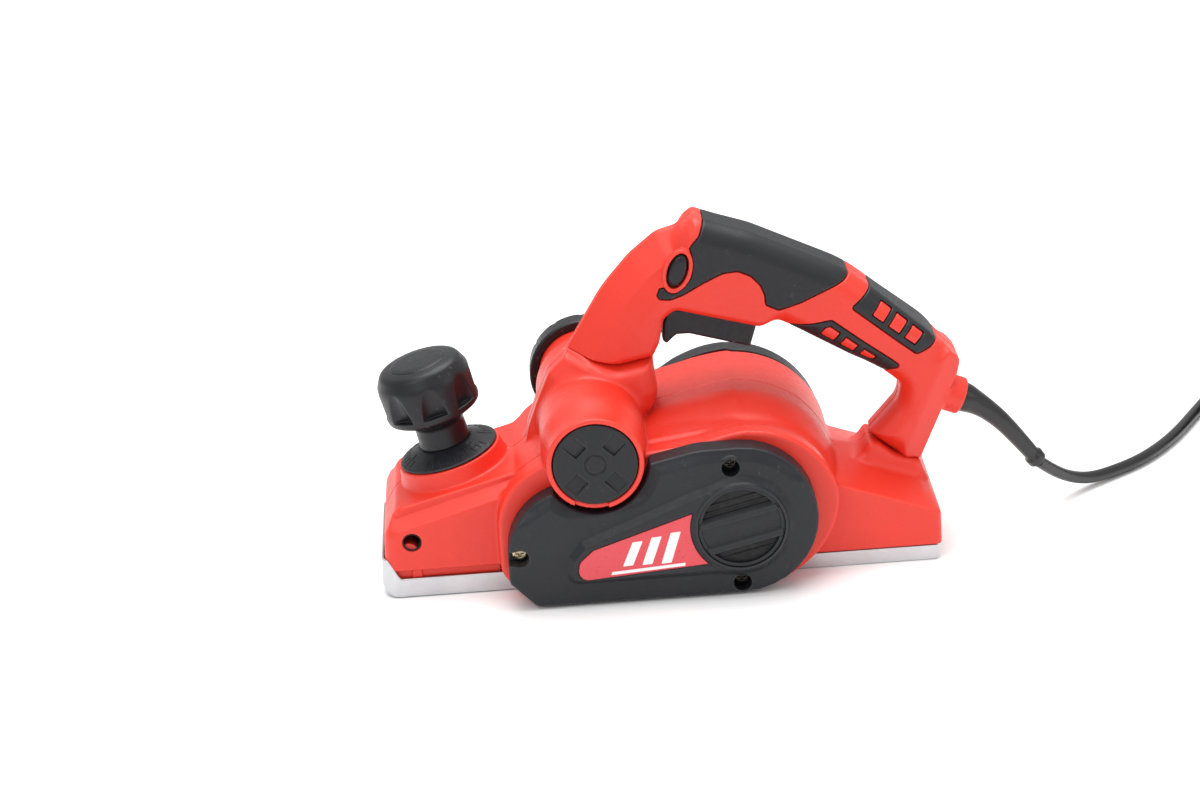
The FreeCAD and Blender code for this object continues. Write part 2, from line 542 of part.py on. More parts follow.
def belt_cover():
    port_gap = rod("PortGap", "port_x", "port_z", "-80", "-45", "port_boss_radius + 2.8")
    port_wall = rod("PortWall", "port_x", "port_z", "-80", "-45", "port_boss_radius + 4.3")
    outer = plate("CoverOuter", COVER_OUTLINE, "cover_face", "flange_face - 0.1")
    room = plate("CoverInner", COVER_HOLLOW, "cover_face + cover_wall", "flange_face + 1")
    inner = cut("CoverRoom", room, port_wall)
    window = rod("CoverWindow", "vent_x", "vent_z", "-75", "-60", 21.5)
    posts, holes, screws = [], [], []
    for k, (x, z) in enumerate(COVER_SCREWS):
        posts.append(rod(f"CoverPost{k}", x, z, "cover_face", "flange_face - 0.1", 5.6))
        holes.append(rod(f"CoverRecess{k}", x, z, "-71", "-63", 4.4))
        holes.append(rod(f"CoverHole{k}", x, z, "-70", "-50", 2.6))
        screws.append(screw(f"CoverScrew{k}", x, z, -63, -1, 2.5, 4.3, 20))
    trimmed = common("CoverPosts", fuse("CoverPostBlanks", *posts),
                     plate("CoverTrim", COVER_OUTLINE, "cover_face", "flange_face - 0.1"))
    shell = fuse("CoverShell", cut("CoverHollow", outer, inner), trimmed)
    node("belt_cover", cut("BeltCover", shell, window, port_gap, *holes))
    node("belt_cover_screws", fuse("CoverScrews", *screws))
    x, z = "vent_x", "vent_z"
    lip = rod("VentLip", x, z, "-71", "cover_face", 23.7)
    sleeve = rod("VentSleeve", x, z, "-70", "-65.5", 21.4)
    hole = rod("VentHole", x, z, "-72", "-62", 19.6)
    ring = cut("VentRing", fuse("VentRingBlank", lip, sleeve), hole)
    turn = FreeCAD.Rotation(Vector(0, 1, 0), -13)
    slats = []
    for k, rise in enumerate((-6.8, 6.8)):
        slat = doc.addObject("Part::Box", f"VentSlat{k}")
        slat.Length, slat.Width, slat.Height = 37.4, 3, 3.4
        centre = Vector(size.vent_x, -69.6, size.vent_z)
        slat.Placement = FreeCAD.Placement(centre + turn.multVec(Vector(-18.7, 0, rise - 1.7)), turn)
        slats.append(slat)
    node("vent_insert", fuse("VentInsert", ring, *slats))
    label = plate("LabelPlate", [
        (-41, 21, 2), (-36, 28.5, 2), (9, 44, 1), (14.2, 44.6, 1), (13.6, 38, 12), (15.2, 31, 1), (12, 17, 1),
        (-34, 14.6, 2),
    ], "cover_face - 0.5", "cover_face")
    node("label_plate", label)


# ---------------------------------------------------------------- body shells

def body_shells():
    """Both halves of the body: one hollow blank cut at the middle plane."""
    block = plate("BodyBlock", BODY_OUTLINE, "-body_half_width", "body_half_width")
    doc.recompute()
    soft = softened("BodySoftened", block, 4, lambda middle: middle.z > 15 and middle.z > 40 - 0.2 * middle.x)
    flange_rear = common(
        "FlangeRear", rod("FlangeRearOuter", 46, 36, "flange_face", "-body_half_width + 1", 45),
        rod("FlangeRearLower", 41, 46, "flange_face", "-body_half_width + 1", 49.7),
    )
    outer = fuse(
        "BodyBlank",
        soft,
        rod("Hump", "hump_x", "hump_z", "-17.5", "cap_start", "hump_radius"),
        primitive("Cone", "HumpShoulder", ("hump_x", "-body_half_width", "hump_z"), ALONG_Y, Radius1=43.2,
                  Radius2="hump_radius - 0.2", Height="body_half_width - 16"),
        plate("Crest", CREST_OUTLINE, "-16.5", "body_half_width - 0.5"),
        plate("Neck", NECK_OUTLINE, "-neck_half_width", "neck_half_width"),
        plate("Stub", STUB_OUTLINE, "-stub_half_width", "stub_half_width"),
        plate("Flange", FLANGE_OUTLINE, "flange_face", "-body_half_width + 1"),
        flange_rear,
        rod("PortBoss", "port_x", "port_z", "port_near", "port_far", "port_boss_radius"),
        knob_rod("DialSeat", -12, 0, "seat_radius"),
    )
    below_sole = primitive("Box", "UnderBody", (-160, -41.1, -40), Length=320, Width=110, Height=47.6)
    below_flange = primitive("Box", "UnderFlange", (-160, -70, -40), Length=320, Width=28.9, Height=41.7)
    hollows = [
        plate("BodyHollow", BODY_HOLLOW, "-body_half_width + wall", "body_half_width - wall"),
        rod("MotorHollow", "hump_x", "hump_z", "-16", "cap_start + 1", "hump_radius - wall"),
        rod("FanHollow", "hump_x", "hump_z", "-body_half_width + wall", "-15", 39.8),
        plate("NeckHollow", NECK_HOLLOW, "-neck_half_width + wall", "neck_half_width - wall"),
        rod("PortBore", "port_x", "port_z", "port_near - 1", "port_far + 1", "port_bore_radius"),
        rod("DrumWindow", "drum_x", "drum_z", "-body_half_width - 0.5", "body_half_width + 1",
            "chamber_radius + chamber_wall + 0.4"),
        rod("DrumBossHole", "drum_x", "drum_z", "-54", "-40", 15.1),
        rod("RotorBearingHole", "motor_x", "motor_z", "-54", "-40", 11.02),
        rod("RotorShaftHole", "motor_x", "motor_z", "-41", "-36", 5),
        primitive("Box", "CheekWindow", (-74.1, -41.5, 0), Length=64.2, Width=84, Height=30),
        primitive("Box", "Mouth", (-82, -41.3, -10), Length=70, Width=82.8, Height=24),
        knob_rod("StudHole", -60, 1, "stud_radius + 3"),
        knob_rod("PinHoleNear", -60, -32, 3.2, 0, -27),
        knob_rod("PinHoleFar", -60, -32, 3.2, 0, 27),
        *(rod(f"CoverThread{k}", *spot, "flange_face - 1", -42.9, 2.55) for k, spot in enumerate(COVER_SCREWS)),
    ]
    fence_nut = rod("FenceBush", -123.8, 29.6, "-body_half_width", "-body_half_width + 12", 6.5)
    fence_bore = rod("FenceBore", -123.8, 29.6, "-body_half_width - 1", "-body_half_width + 12", 4)
    walls = cut("BodyWalls", cut("BodyTrimmed", outer, below_sole, below_flange), *hollows)
    posts = [rod(f"BodyPost{k}", x, z, "-body_half_width + 1", "body_half_width - 1", 4.5)
             for k, (x, z) in enumerate(BODY_SCREWS)]
    bored = [rod(f"BodyPostBore{k}", x, z, "-30", "60", 2.05) for k, (x, z) in enumerate(BODY_SCREWS)]
    recess = [
        rod(f"BodyRecess{k}", *spot, "body_half_width - 4", "60", 4.1) for k, spot in enumerate(BODY_SCREWS)
    ]
    whole = cut("BodyWhole", fuse("BodyWithPosts", walls, *posts, fence_nut), *bored, *recess, fence_bore)
    left = primitive("Box", "LeftHalf", (-200, -100, -10), Length=400, Width=100, Height=250)
    right = primitive("Box", "RightHalf", (-200, 0, -10), Length=400, Width=100, Height=250)
    node("body_left_shell", common("BodyLeft", whole, left))
    node("body_right_shell", common("BodyRight", whole, right))
    screws = [screw(f"BodyScrew{k}", x, z, size.body_half_width - 4, 1, 2, 3.8, 60)
              for k, (x, z) in enumerate(BODY_SCREWS)]
    node("body_screws", fuse("BodyScrews", *screws))


COVER_SCREWS = ((-70.3, 28.1), (35.6, 68.6), (38.9, 6.7))
BODY_SCREWS = ((-126, 23), (-84, 50), (104, 20), (131, 20))
HANDLE_SCREWS = ((-12, 123), (86, 133), (146, 96), (128, 62))


def handle_shells():
    """Both halves of the loop handle, with rounded outer edges."""
    blank = plate("HandleBlank", HANDLE_OUTLINE, "-handle_half_width", "handle_half_width")
    doc.recompute()
    smooth = softened("HandleRounded", blank, 5, off_seam)
    hollow = plate("HandleHollow", HANDLE_HOLLOW, "-handle_half_width + wall", "handle_half_width - wall")
    slot = plate("TriggerSlot", [(5, 108, 0), (5, 142, 0), (58, 131, 0), (66, 118, 0), (57, 104, 0)],
                 "-trigger_half_width - 0.6", "trigger_half_width + 0.6")
    button_hole = button_block("ButtonHole", 0.3, 25)
    downward = FreeCAD.Rotation(Vector(0, 1, 0), 116)
    boss = primitive("Cylinder", "CordBoss", (146, 0, 76.6), downward, Radius=9.5, Height=14.2)
    cord_hole = primitive("Cylinder", "CordHole", (145, 0, 77.1), downward, Radius=6.2, Height=20)
    pin_seat = rod("TriggerPinSeat", "pivot_x", "pivot_z", "-handle_half_width + 1.5",
                   "handle_half_width - 1.5", 1.8)
    walls = cut("HandleWalls", fuse("HandleBossed", smooth, boss), hollow, slot, button_hole, cord_hole, pin_seat)
    posts = [rod(f"HandlePost{k}", x, z, "-handle_half_width + 1", "handle_half_width - 1", 4)
             for k, (x, z) in enumerate(HANDLE_SCREWS)]
    bored = [rod(f"HandleBore{k}", x, z, "-12", "30", 1.75) for k, (x, z) in enumerate(HANDLE_SCREWS)]
    recess = [rod(f"HandleRecess{k}", x, z, "handle_half_width - 4", "30", 3.6)
              for k, (x, z) in enumerate(HANDLE_SCREWS)]
    whole = cut("HandleWhole", fuse("HandleWithPosts", walls, *posts), *bored, *recess)
    left = primitive("Box", "HandleLeftHalf", (-60, -60, 20), Length=260, Width=60, Height=200)
    right = primitive("Box", "HandleRightHalf", (-60, 0, 20), Length=260, Width=60, Height=200)
    node("handle_left_shell", common("HandleLeft", whole, left))
    node("handle_right_shell", common("HandleRight", whole, right))
    screws = [screw(f"HandleScrew{k}", x, z, size.handle_half_width - 4, 1, 1.7, 3.3, 24)
              for k, (x, z) in enumerate(HANDLE_SCREWS)]
    node("handle_screws", fuse("HandleScrews", *screws))


def off_seam(middle):
    """True for a point of the handle's outline that isn't where the handle stands on the body."""
    front_foot = middle.x < 4 and middle.z < 113.5
    rear_foot = 110 < middle.x < 136 and middle.z < 57.7 and middle.z < 58 - (middle.x - 111) * 0.55
    return not (front_foot or rear_foot)


def softened(name, base, radius, wanted):
    """The base with the wanted outline edges of its two flat sides rounded."""
    edges = []
    for i, edge in enumerate(base.Shape.Edges):
        middle = edge.valueAt((edge.FirstParameter + edge.LastParameter) / 2)
        if edge.BoundBox.YLength < 1e-6 and wanted(middle):
            edges.append((i + 1, float(radius), float(radius)))
    fillet = doc.addObject("Part::Fillet", name)
    fillet.Base = base
    fillet.Edges = edges
    return fillet


def grips():
    """Soft overmoulded strips that follow the handle's top edge."""
    for label, name, region in (
        ("front_grip", "FrontGrip", [(8, 150, 0), (8, 190, 0), (104, 190, 0), (104, 130, 0), (60, 130, 0)]),
        ("rear_grip", "RearGrip", [
            (116.6, 120, 0), (116.6, 160, 0), (160, 160, 0), (160, 105, 0), (135, 105, 0)]),
    ):
        band = plate(name + "Band", grown(HANDLE_OUTLINE, 1.4), "-11", "11")
        core = plate(name + "Core", HANDLE_OUTLINE, "-12", "12")
        strip = common(name + "Strip", band, plate(name + "Region", region, "-11.5", "11.5"))
        node(label, cut(name, strip, core))


# ---------------------------------------------------------------- handle's insides

def button_block(name, grow, reach):
    """The lock-off button's oval bar across the handle."""
    half_width = size.button_width / 2 + grow
    half_height = size.button_height / 2 - size.button_width / 2
    turn = FreeCAD.Rotation(Vector(0, 1, 0), size.button_tilt)
    pieces = []
    for k, side in enumerate((-1, 1)):
        end = doc.addObject("Part::Cylinder", f"{name}End{k}")
        end.Radius, end.Height = half_width, reach * 2
        centre = Vector(size.button_x, 0, size.button_z) + turn.multVec(Vector(0, -reach, side * half_height))
        end.Placement = FreeCAD.Placement(centre, ALONG_Y)
        pieces.append(end)
    bar = doc.addObject("Part::Box", f"{name}Bar")
    bar.Length, bar.Width, bar.Height = half_width * 2, reach * 2, half_height * 2
    centre = Vector(size.button_x, 0, size.button_z) + turn.multVec(Vector(-half_width, -reach, -half_height))
    bar.Placement = FreeCAD.Placement(centre, turn)
    return fuse(name, bar, *pieces)


def switch_parts():
    trigger = plate("TriggerBlade", [
        (8.4, 115, 1), (10.3, 112.9, 1), (15.5, 117.5, 3), (22, 117.4, 6), (52.2, 108.2, 2), (56.6, 122, 4),
        (56.6, 130.3, 3), (48.4, 130.3, 3), (48.2, 124.4, 0.5), (46, 124.5, 1), (22, 131.2, 3), (11.8, 131.6, 3), (9, 124, 4),
    ], "-trigger_half_width", "trigger_half_width")
    pin_hole = rod("TriggerPinHole", "pivot_x", "pivot_z", "-20", "20", 1.8)
    node("trigger", cut("Trigger", trigger, pin_hole))
    node("trigger_pin", rod("TriggerPin", "pivot_x", "pivot_z", "-handle_half_width + 1.5",
                            "handle_half_width - 1.5", 1.75))
    node("lock_off_button", button_block("LockOffButton", 0, size.button_reach))
    node("switch_body", primitive("Box", "SwitchBody", (31, -9, 138), FreeCAD.Rotation(Vector(0, 1, 0), 15),
                                  Length=36, Width=18, Height=22))
    outside = primitive("Cylinder", "TriggerSpringOuter", (37, 0, 128), Radius=3, Height=7.4)
    coil = cut("TriggerSpringRing", outside,
               primitive("Cylinder", "TriggerSpringInner", (37, 0, 127), Radius=2.2, Height=11))
    node("trigger_spring", coil)
    node("capacitor", primitive("Cylinder", "Capacitor", (94, 0, 131), FreeCAD.Rotation(Vector(0, 1, 0), 118),
                                Radius=6, Height=22))
    node("cord_clamp", primitive("Box", "CordClamp", (137, -9, 84), FreeCAD.Rotation(Vector(0, 1, 0), 41),
                                 Length=4, Width=18, Height=7))


# ---------------------------------------------------------------- chip outlet

def chip_outlet():
    tube = rod("DuctTube", "port_x", "port_z", "-40", "40", "duct_radius + 2")
    funnel = primitive("Box", "DuctFunnel", ("port_x - 15.5", -29.5, 57), Length=31, Width=59, Height=16)
    bore = rod("DuctBore", "port_x", "port_z", "-41", "41", "duct_radius")
    throat = primitive("Box", "DuctThroat", ("port_x - 13.5", -27.5, 50), Length=27, Width=55, Height=28)
    chamber = rod("DuctChamber", "drum_x", "drum_z", "-40", "40", "chamber_radius + chamber_wall + 0.05")
    node("chip_duct", cut("ChipDuct", fuse("DuctBlank", tube, funnel), bore, throat, chamber))
    place = along_y(size.port_x, size.port_z, size.port_near)
    plug = turned("PlugBlank", [
        (0, 3, 0), (7.5, 3, 1), (9, 1, 1), (21.5, 0, 1),
        (21.5, 16, 0.5), (19.5, 16, 0), (19.5, 5, 0), (0, 5, 0),
    ], place)
    ribs = []
    for k in range(4):
        rib = doc.addObject("Part::Box", f"PlugRib{k}")
        rib.Length, rib.Width, rib.Height = 7, 2.5, 11
        turn = FreeCAD.Rotation(Vector(0, 1, 0), 90 * k + 8)
        rib.Placement = FreeCAD.Placement(
            Vector(size.port_x, size.port_near + 0.4, size.port_z) + turn.multVec(Vector(-3.5, 0, 8.5)), turn)
        ribs.append(rib)
    node("port_plug", fuse("PortPlug", plug, *ribs))
    ring = turned("CollarBlank", [
        (24.3, -6.5, 0), (24.3, 0, 0), (17.5, 2.5, 0.5), (17.5, 13, 0), (20, 13, 1), (22, 6.5, 2),
        (28.8, 5, 1.5), (28.8, -6.5, 1),
    ], along_y(size.port_x, size.port_z, size.port_far))
    node("port_adapter", ring)


# ---------------------------------------------------------------- depth adjuster

def depth_adjuster():
    place = FreeCAD.Placement(KNOB_BASE, KNOB_TURN)
    bore = size.stud_radius + 0.08
    dial = turned("DialBlank", [
        (bore + 5, 0.3, 0), (size.dial_radius, 0.3, 0.6), (size.dial_radius, 2, 0.6),
        (22, 6, 1), (bore + 5, 6, 0),
    ], place)
    node("depth_dial", dial)
    knob = turned("KnobBlank", [
        (bore, 0.4, 0), (bore + 4.9, 0.4, 0), (bore + 4.9, 6.1, 0), (size.neck_radius, 6.1, 0),
        (size.neck_radius - 0.6, 18, 4), (20, 21, 4),
        (size.knob_radius, 29, 6), (size.knob_radius - 0.6, 42, 6),
        (20.5, 49.5, 4), (12, 52, 6), (0, 52, 0), (0, 20, 0), (bore, 20, 0),
    ], place)
    scallops = []
    for k in range(8):
        angle = 2 * pi * k / 8 + radians(6)
        reach = size.knob_radius + 4.9
        scallop = doc.addObject("Part::Cylinder", f"KnobScallop{k}")
        scallop.Radius, scallop.Height = 8, 30
        at = KNOB_BASE + KNOB_TURN.multVec(Vector(reach * cos(angle), reach * sin(angle), 26.6))
        scallop.Placement = FreeCAD.Placement(at, KNOB_TURN)
        scallops.append(scallop)
    node("depth_knob", cut("DepthKnob", knob, *scallops))


# ---------------------------------------------------------------- cord

RELIEF_END = Vector(199, 8, 28)
CORD_ROUTE = [
    (199, 8, 28), (206, 14, 20.5), (217, 24, 11), (230, 34, 4.6), (246, 45, 3.2), (262, 57, 3.2),
    (277, 74, 3.2), (290, 93, 3.2), (302, 114, 3.2), (315, 136, 3.2), (331.2, 156.6, 3.2),
]


def tube_path(points):
    """Straight runs joined by tangent arcs; it prints each arc's radius."""
    points = [Vector(*p) for p in points]
    pieces, radii, last = [], [], points[0]
    for i in range(1, len(points) - 1):
        here = points[i]
        back, ahead = points[i - 1] - here, points[i + 1] - here
        shorter = min(back.Length, ahead.Length)
        half_turn = (pi - back.getAngle(ahead)) / 2
        radius = 0.45 * shorter / tan(half_turn)
        radii.append(round(radius, 1))
        reach = radius * tan(half_turn)
        first = here + back.normalize() * reach
        final = here + ahead.normalize() * reach
        inward = (back + ahead).normalize()
        top = here + inward * (radius / cos(half_turn) - radius)
        pieces.append(Part.LineSegment(last, first).toShape())
        pieces.append(Part.Arc(first, top, final).toShape())
        last = final
    pieces.append(Part.LineSegment(last, points[-1]).toShape())
    print("cord arc radii:", radii)
    return Part.Wire(pieces)


def tube(label, points, radius):
    path = tube_path(points)
    heading = Vector(*points[1]) - Vector(*points[0])
    circle = Part.Wire(Part.makeCircle(radius, Vector(*points[0]), heading))
    solid = path.makePipeShell([circle], True, True)
    item = doc.addObject("Part::Feature", label.title().replace("_", ""))
    item.Shape = solid
    section = pi * radius**2
    print(label, "length", round(path.Length, 1), "volume / section", round(solid.Volume / section, 1))
    return node(label, item)


def cord():
    radius = size.cord_diameter / 2
    tube("cord", CORD_ROUTE, radius)
    flare = [
        Vector(152.5, 0, 73.5), Vector(161, 0, 69.2), Vector(171.4, 0.5, 62.2), Vector(180, 2, 53.5),
        Vector(190, 5, 40.5), RELIEF_END,
    ]
    widths = (5.9, 5.9, 5.3, 4.8, 4.3, 3.9)
    rings = []
    for i, (point, wide) in enumerate(zip(flare, widths)):
        heading = flare[min(i + 1, 5)] - flare[max(i - 1, 0)]
        rings.append(Part.Wire(Part.makeCircle(wide, point, heading)))
    relief = doc.addObject("Part::Feature", "StrainRelief")
    relief.Shape = Part.makeLoft(rings, True)
    node("strain_relief", relief)
    across, tall = 9.6, 17.6
    ring = turned("CoilRing", [
        (size.coil_radius - across, 0, 5), (size.coil_radius + across, 0, 5),
        (size.coil_radius + across, tall, 5), (size.coil_radius - across, tall, 5),
    ], FreeCAD.Placement(Vector(size.coil_x, size.coil_y, 0), ALONG_Z))
    node("cord_coil", ring)
    tail_x = size.coil_x + size.coil_radius + 6
    axis_z = 18
    start = (tail_x, size.coil_y - 42, axis_z)
    node("cord_tail", primitive("Cylinder", "CordTail", start, ALONG_Y, Radius=radius, Height=40))
    plug_place = FreeCAD.Placement(Vector(tail_x, size.coil_y - 42, axis_z),
                                   FreeCAD.Rotation(Vector(1, 0, 0), 90))
    node("cord_plug", turned("CordPlug", [
        (0, 0, 0), (4.5, 0, 0), (6, 14, 4), (17.8, 24, 6), (18, 40, 1.5), (0, 40, 0)], plug_place))
    pins = [
        primitive("Cylinder", f"PlugPin{k}", (tail_x + dx, size.coil_y - 82 - 19, axis_z), ALONG_Y,
                  Radius=2.4, Height=19)
        for k, dx in enumerate((-9.5, 9.5))
    ]
    node("plug_pins", fuse("PlugPins", *pins))


for build in (
    front_shoe, base_frame, cutter_drum, motor, motor_end_cap, belt_drive, belt_cover, body_shells,
    handle_shells, grips, switch_parts, chip_outlet, depth_adjuster, cord,
):
    build()
doc.recompute()
faults = [o.Name for o in doc.Objects if {"Invalid", "Error"} & set(o.State)]
if faults:
    raise SystemExit(f"features that failed: {faults}")
os.makedirs("parts", exist_ok=True)
for label, item in NODES.items():
    shape = item.Shape
    if shape.isNull() or not shape.isValid() or not shape.Solids:
        raise SystemExit(f"{label} has no valid solid")
    if len(shape.Solids) == 1:
        shape = shape.Solids[0]
    shape.exportStep(f"parts/{label}.step")
    box = shape.BoundBox
    print(f"{label:20s} {len(shape.Solids)} solid {shape.Volume / 1000:8.2f} cm3 "
          f"x {box.XMin:.1f} {box.XMax:.1f} y {box.YMin:.1f} {box.YMax:.1f} z {box.ZMin:.1f} {box.ZMax:.1f}")
print(len(NODES), "nodes")
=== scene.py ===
import json
from math import acos, atan2, cos, hypot, pi, radians, sin, tan

import bpy
import numpy as np
from mathutils import Matrix, Vector


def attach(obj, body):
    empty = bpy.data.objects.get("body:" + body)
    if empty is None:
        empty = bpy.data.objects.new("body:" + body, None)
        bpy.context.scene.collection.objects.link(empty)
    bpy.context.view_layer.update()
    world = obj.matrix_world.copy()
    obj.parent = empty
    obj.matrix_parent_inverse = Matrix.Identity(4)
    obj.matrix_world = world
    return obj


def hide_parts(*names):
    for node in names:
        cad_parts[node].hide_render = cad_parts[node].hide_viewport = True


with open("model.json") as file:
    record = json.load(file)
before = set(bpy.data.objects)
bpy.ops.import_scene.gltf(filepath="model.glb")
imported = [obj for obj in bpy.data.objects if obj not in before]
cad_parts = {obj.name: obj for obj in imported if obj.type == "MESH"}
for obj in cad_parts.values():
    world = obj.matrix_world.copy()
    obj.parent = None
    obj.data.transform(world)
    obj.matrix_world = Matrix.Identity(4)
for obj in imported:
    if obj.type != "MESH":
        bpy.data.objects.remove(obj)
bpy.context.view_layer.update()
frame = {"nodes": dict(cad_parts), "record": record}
MM = 0.001

# Moulded pieces are drawn as distance fields in millimetres, in the frame's own axes, and then skinned.
# +X is the rear, -Y the belt cover's side, +Z up.


# ---------------------------------------------------------------- camera

def make_camera():
    azimuth, elevation, roll = radians(-1.2), radians(22), radians(3.7)
    back = Vector((sin(azimuth) * cos(elevation), -cos(azimuth) * cos(elevation), sin(elevation)))
    level = Vector((cos(azimuth), sin(azimuth), 0))
    rise = back.cross(level)
    right = level * cos(roll) - rise * sin(roll)
    up = level * sin(roll) + rise * cos(roll)
    data = bpy.data.cameras.new("camera")
    data.lens, data.sensor_width = 100, 36
    data.clip_start, data.clip_end = 0.05, 50
    camera = bpy.data.objects.new("camera", data)
    turn = Matrix((right, up, back)).transposed().to_4x4()
    camera.matrix_world = Matrix.Translation((-0.0573, -1.5615, 0.7136)) @ turn
    bpy.context.scene.collection.objects.link(camera)
    bpy.context.scene.camera = camera


make_camera()


# ---------------------------------------------------------------- materials

def noise(tree, where, scale, detail=3.0, rough=0.55):
    node = tree.nodes.new("ShaderNodeTexNoise")
    node.inputs["Scale"].default_value = scale
    node.inputs["Detail"].default_value = detail
    node.inputs["Roughness"].default_value = rough
    tree.links.new(where, node.inputs["Vector"])
    return node.outputs[0]


def ramp(tree, value, stops):
    node = tree.nodes.new("ShaderNodeValToRGB")
    band = node.color_ramp
    while len(band.elements) < len(stops):
        band.elements.new(0.5)
    for element, (at, colour) in zip(band.elements, stops):
        element.position = at
        element.color = (*colour, 1) if hasattr(colour, "__len__") else (colour, colour, colour, 1)
    tree.links.new(value, node.inputs[0])
    return node.outputs[0]


def mixed(tree, kind, factor, first, second):
    node = tree.nodes.new("ShaderNodeMix")
    node.data_type = "RGBA"
    node.blend_type = kind
    for socket, value in ((node.inputs[0], factor), (node.inputs[6], first), (node.inputs[7], second)):
        if isinstance(value, bpy.types.NodeSocket):
            tree.links.new(value, socket)
        elif hasattr(value, "__len__"):
            socket.default_value = (*value, 1)
        else:
            socket.default_value = value
    return node.outputs[2]


def surface(name, colour, rough, metal=0.0, grain=900, bump=0.1, vary=0.06, edge=0.0, dust=0.0,
            stretch=(1, 1, 1), specular=0.5, coat=0.0, broad=22, swirl=0.0):
    """A procedural finish: cloudy colour, fine moulded or ground grain, uneven gloss, paler edges and dust."""
    material = bpy.data.materials.new(name)
    material.use_nodes = True
    tree = material.node_tree
    shader = tree.nodes["Principled BSDF"]
    shader.inputs["Metallic"].default_value = metal
    shader.inputs["Specular IOR Level"].default_value = specular
    shader.inputs["Coat Weight"].default_value = coat
    shader.inputs["Coat Roughness"].default_value = 0.25
    place = tree.nodes.new("ShaderNodeTexCoord").outputs["Object"]
    scaled = tree.nodes.new("ShaderNodeMapping")
    scaled.inputs["Scale"].default_value = stretch
    tree.links.new(place, scaled.inputs["Vector"])
    where = scaled.outputs[0]
    cloud = noise(tree, place, broad, 4, 0.6)
    low = [c * (1 - vary) for c in colour]
    high = [min(1, c * (1 + vary)) for c in colour]
    tint = ramp(tree, cloud, [(0.3, low), (0.7, high)])
    fine = noise(tree, where, grain, 2.5, 0.6)
    speck = ramp(tree, fine, [(0.35, 1 - vary * 1.6), (0.65, 1.0)])
    tint = mixed(tree, "MULTIPLY", 0.8, tint, speck)
    if dust:
        dirt = ramp(tree, noise(tree, place, 330, 6, 0.7), [(0.6, 0.0), (0.74, 1.0)])
        patch = ramp(tree, noise(tree, place, 40, 2, 0.5), [(0.45, 0.0), (0.7, dust)])
        tint = mixed(tree, "MIX", mixed(tree, "MULTIPLY", 1.0, dirt, patch), tint, (0.55, 0.55, 0.55))
    if edge:
        bend = tree.nodes.new("ShaderNodeNewGeometry").outputs["Pointiness"]
        rub = ramp(tree, bend, [(0.51, 0.0), (0.6, edge)])
        tint = mixed(tree, "MIX", rub, tint, [min(1, c * 1.5 + 0.07) for c in colour])
    tree.links.new(tint, shader.inputs["Base Color"])
    uneven = noise(tree, where, grain * 0.23, 3, 0.6)
    gloss = ramp(tree, uneven, [(0.3, rough * 0.86), (0.7, min(1, rough * 1.14))])
    tree.links.new(gloss, shader.inputs["Roughness"])
    relief = tree.nodes.new("ShaderNodeBump")
    relief.inputs["Strength"].default_value = bump
    relief.inputs["Distance"].default_value = 0.0002
    tree.links.new(fine, relief.inputs["Height"])
    if swirl:
        ripple = tree.nodes.new("ShaderNodeBump")
        ripple.inputs["Strength"].default_value = swirl
        ripple.inputs["Distance"].default_value = 0.0006
        tree.links.new(noise(tree, place, 75, 3, 0.5), ripple.inputs["Height"])
        tree.links.new(relief.outputs[0], ripple.inputs["Normal"])
        relief = ripple
    tree.links.new(relief.outputs[0], shader.inputs["Normal"])
    return material


RED = surface("red_plastic", (0.74, 0.031, 0.014), 0.42, grain=1500, bump=0.16, vary=0.05, edge=0.3,
              swirl=0.03)
DARK = surface("dark_plastic", (0.012, 0.013, 0.017), 0.44, grain=1300, bump=0.3, vary=0.16, edge=0.5,
               dust=0.12, specular=0.36)
FINE_DARK = surface("dark_smooth_plastic", (0.008, 0.0085, 0.011), 0.38, grain=1700, bump=0.14, vary=0.12,
                    edge=0.4, dust=0.16, specular=0.36)
SOFT = surface("soft_grip", (0.010, 0.0105, 0.014), 0.48, grain=2100, bump=0.2, vary=0.12, edge=0.3,
               dust=0.14, specular=0.4)
# black for the dial's marks, and painted shade: the black disc behind the vent grille and the black lining of
# the fence hole
BLACK_MARKS_AND_SHADE = surface("black_marks_and_painted_shade", (0.006, 0.006, 0.007), 0.7, grain=900, bump=0.1, vary=0.1)
SOLE = surface("ground_aluminium", (0.60, 0.61, 0.63), 0.38, metal=0.8, grain=260, bump=0.16, vary=0.07,
               stretch=(1, 9, 30), broad=60)
STEEL = surface("turned_steel", (0.55, 0.56, 0.58), 0.3, metal=1.0, grain=700, bump=0.08, vary=0.08)
SCREW = surface("passivated_screw", (0.62, 0.52, 0.34), 0.32, metal=1.0, grain=800, bump=0.1, vary=0.15)
CARBIDE = surface("ground_carbide", (0.33, 0.34, 0.36), 0.25, metal=1.0, grain=900, bump=0.06, vary=0.06)
IRON = surface("stacked_sheets", (0.2, 0.2, 0.22), 0.4, metal=0.9, grain=500, bump=0.2, vary=0.12,
               stretch=(1, 20, 1))
COPPER = surface("copper_bars", (0.72, 0.36, 0.2), 0.3, metal=1.0, grain=600, bump=0.08, vary=0.12)
INNER = surface("inner_plastic", (0.06, 0.06, 0.065), 0.5, grain=900, bump=0.15, vary=0.1)
BELT = surface("belt_rubber", (0.018, 0.018, 0.019), 0.7, grain=1200, bump=0.3, vary=0.15)
LABEL = surface("label_print", (0.70, 0.045, 0.06), 0.3, grain=1900, bump=0.05, vary=0.05, coat=0.3)
WHITE = surface("label_white", (0.84, 0.84, 0.85), 0.32, grain=1900, bump=0.05, vary=0.03, coat=0.3)
CABLE = surface("cable_sheath", (0.012, 0.012, 0.013), 0.3, grain=700, bump=0.08, vary=0.2, swirl=0.06)
BRASS = surface("brass", (0.78, 0.6, 0.28), 0.26, metal=1.0, grain=700, bump=0.07, vary=0.1)
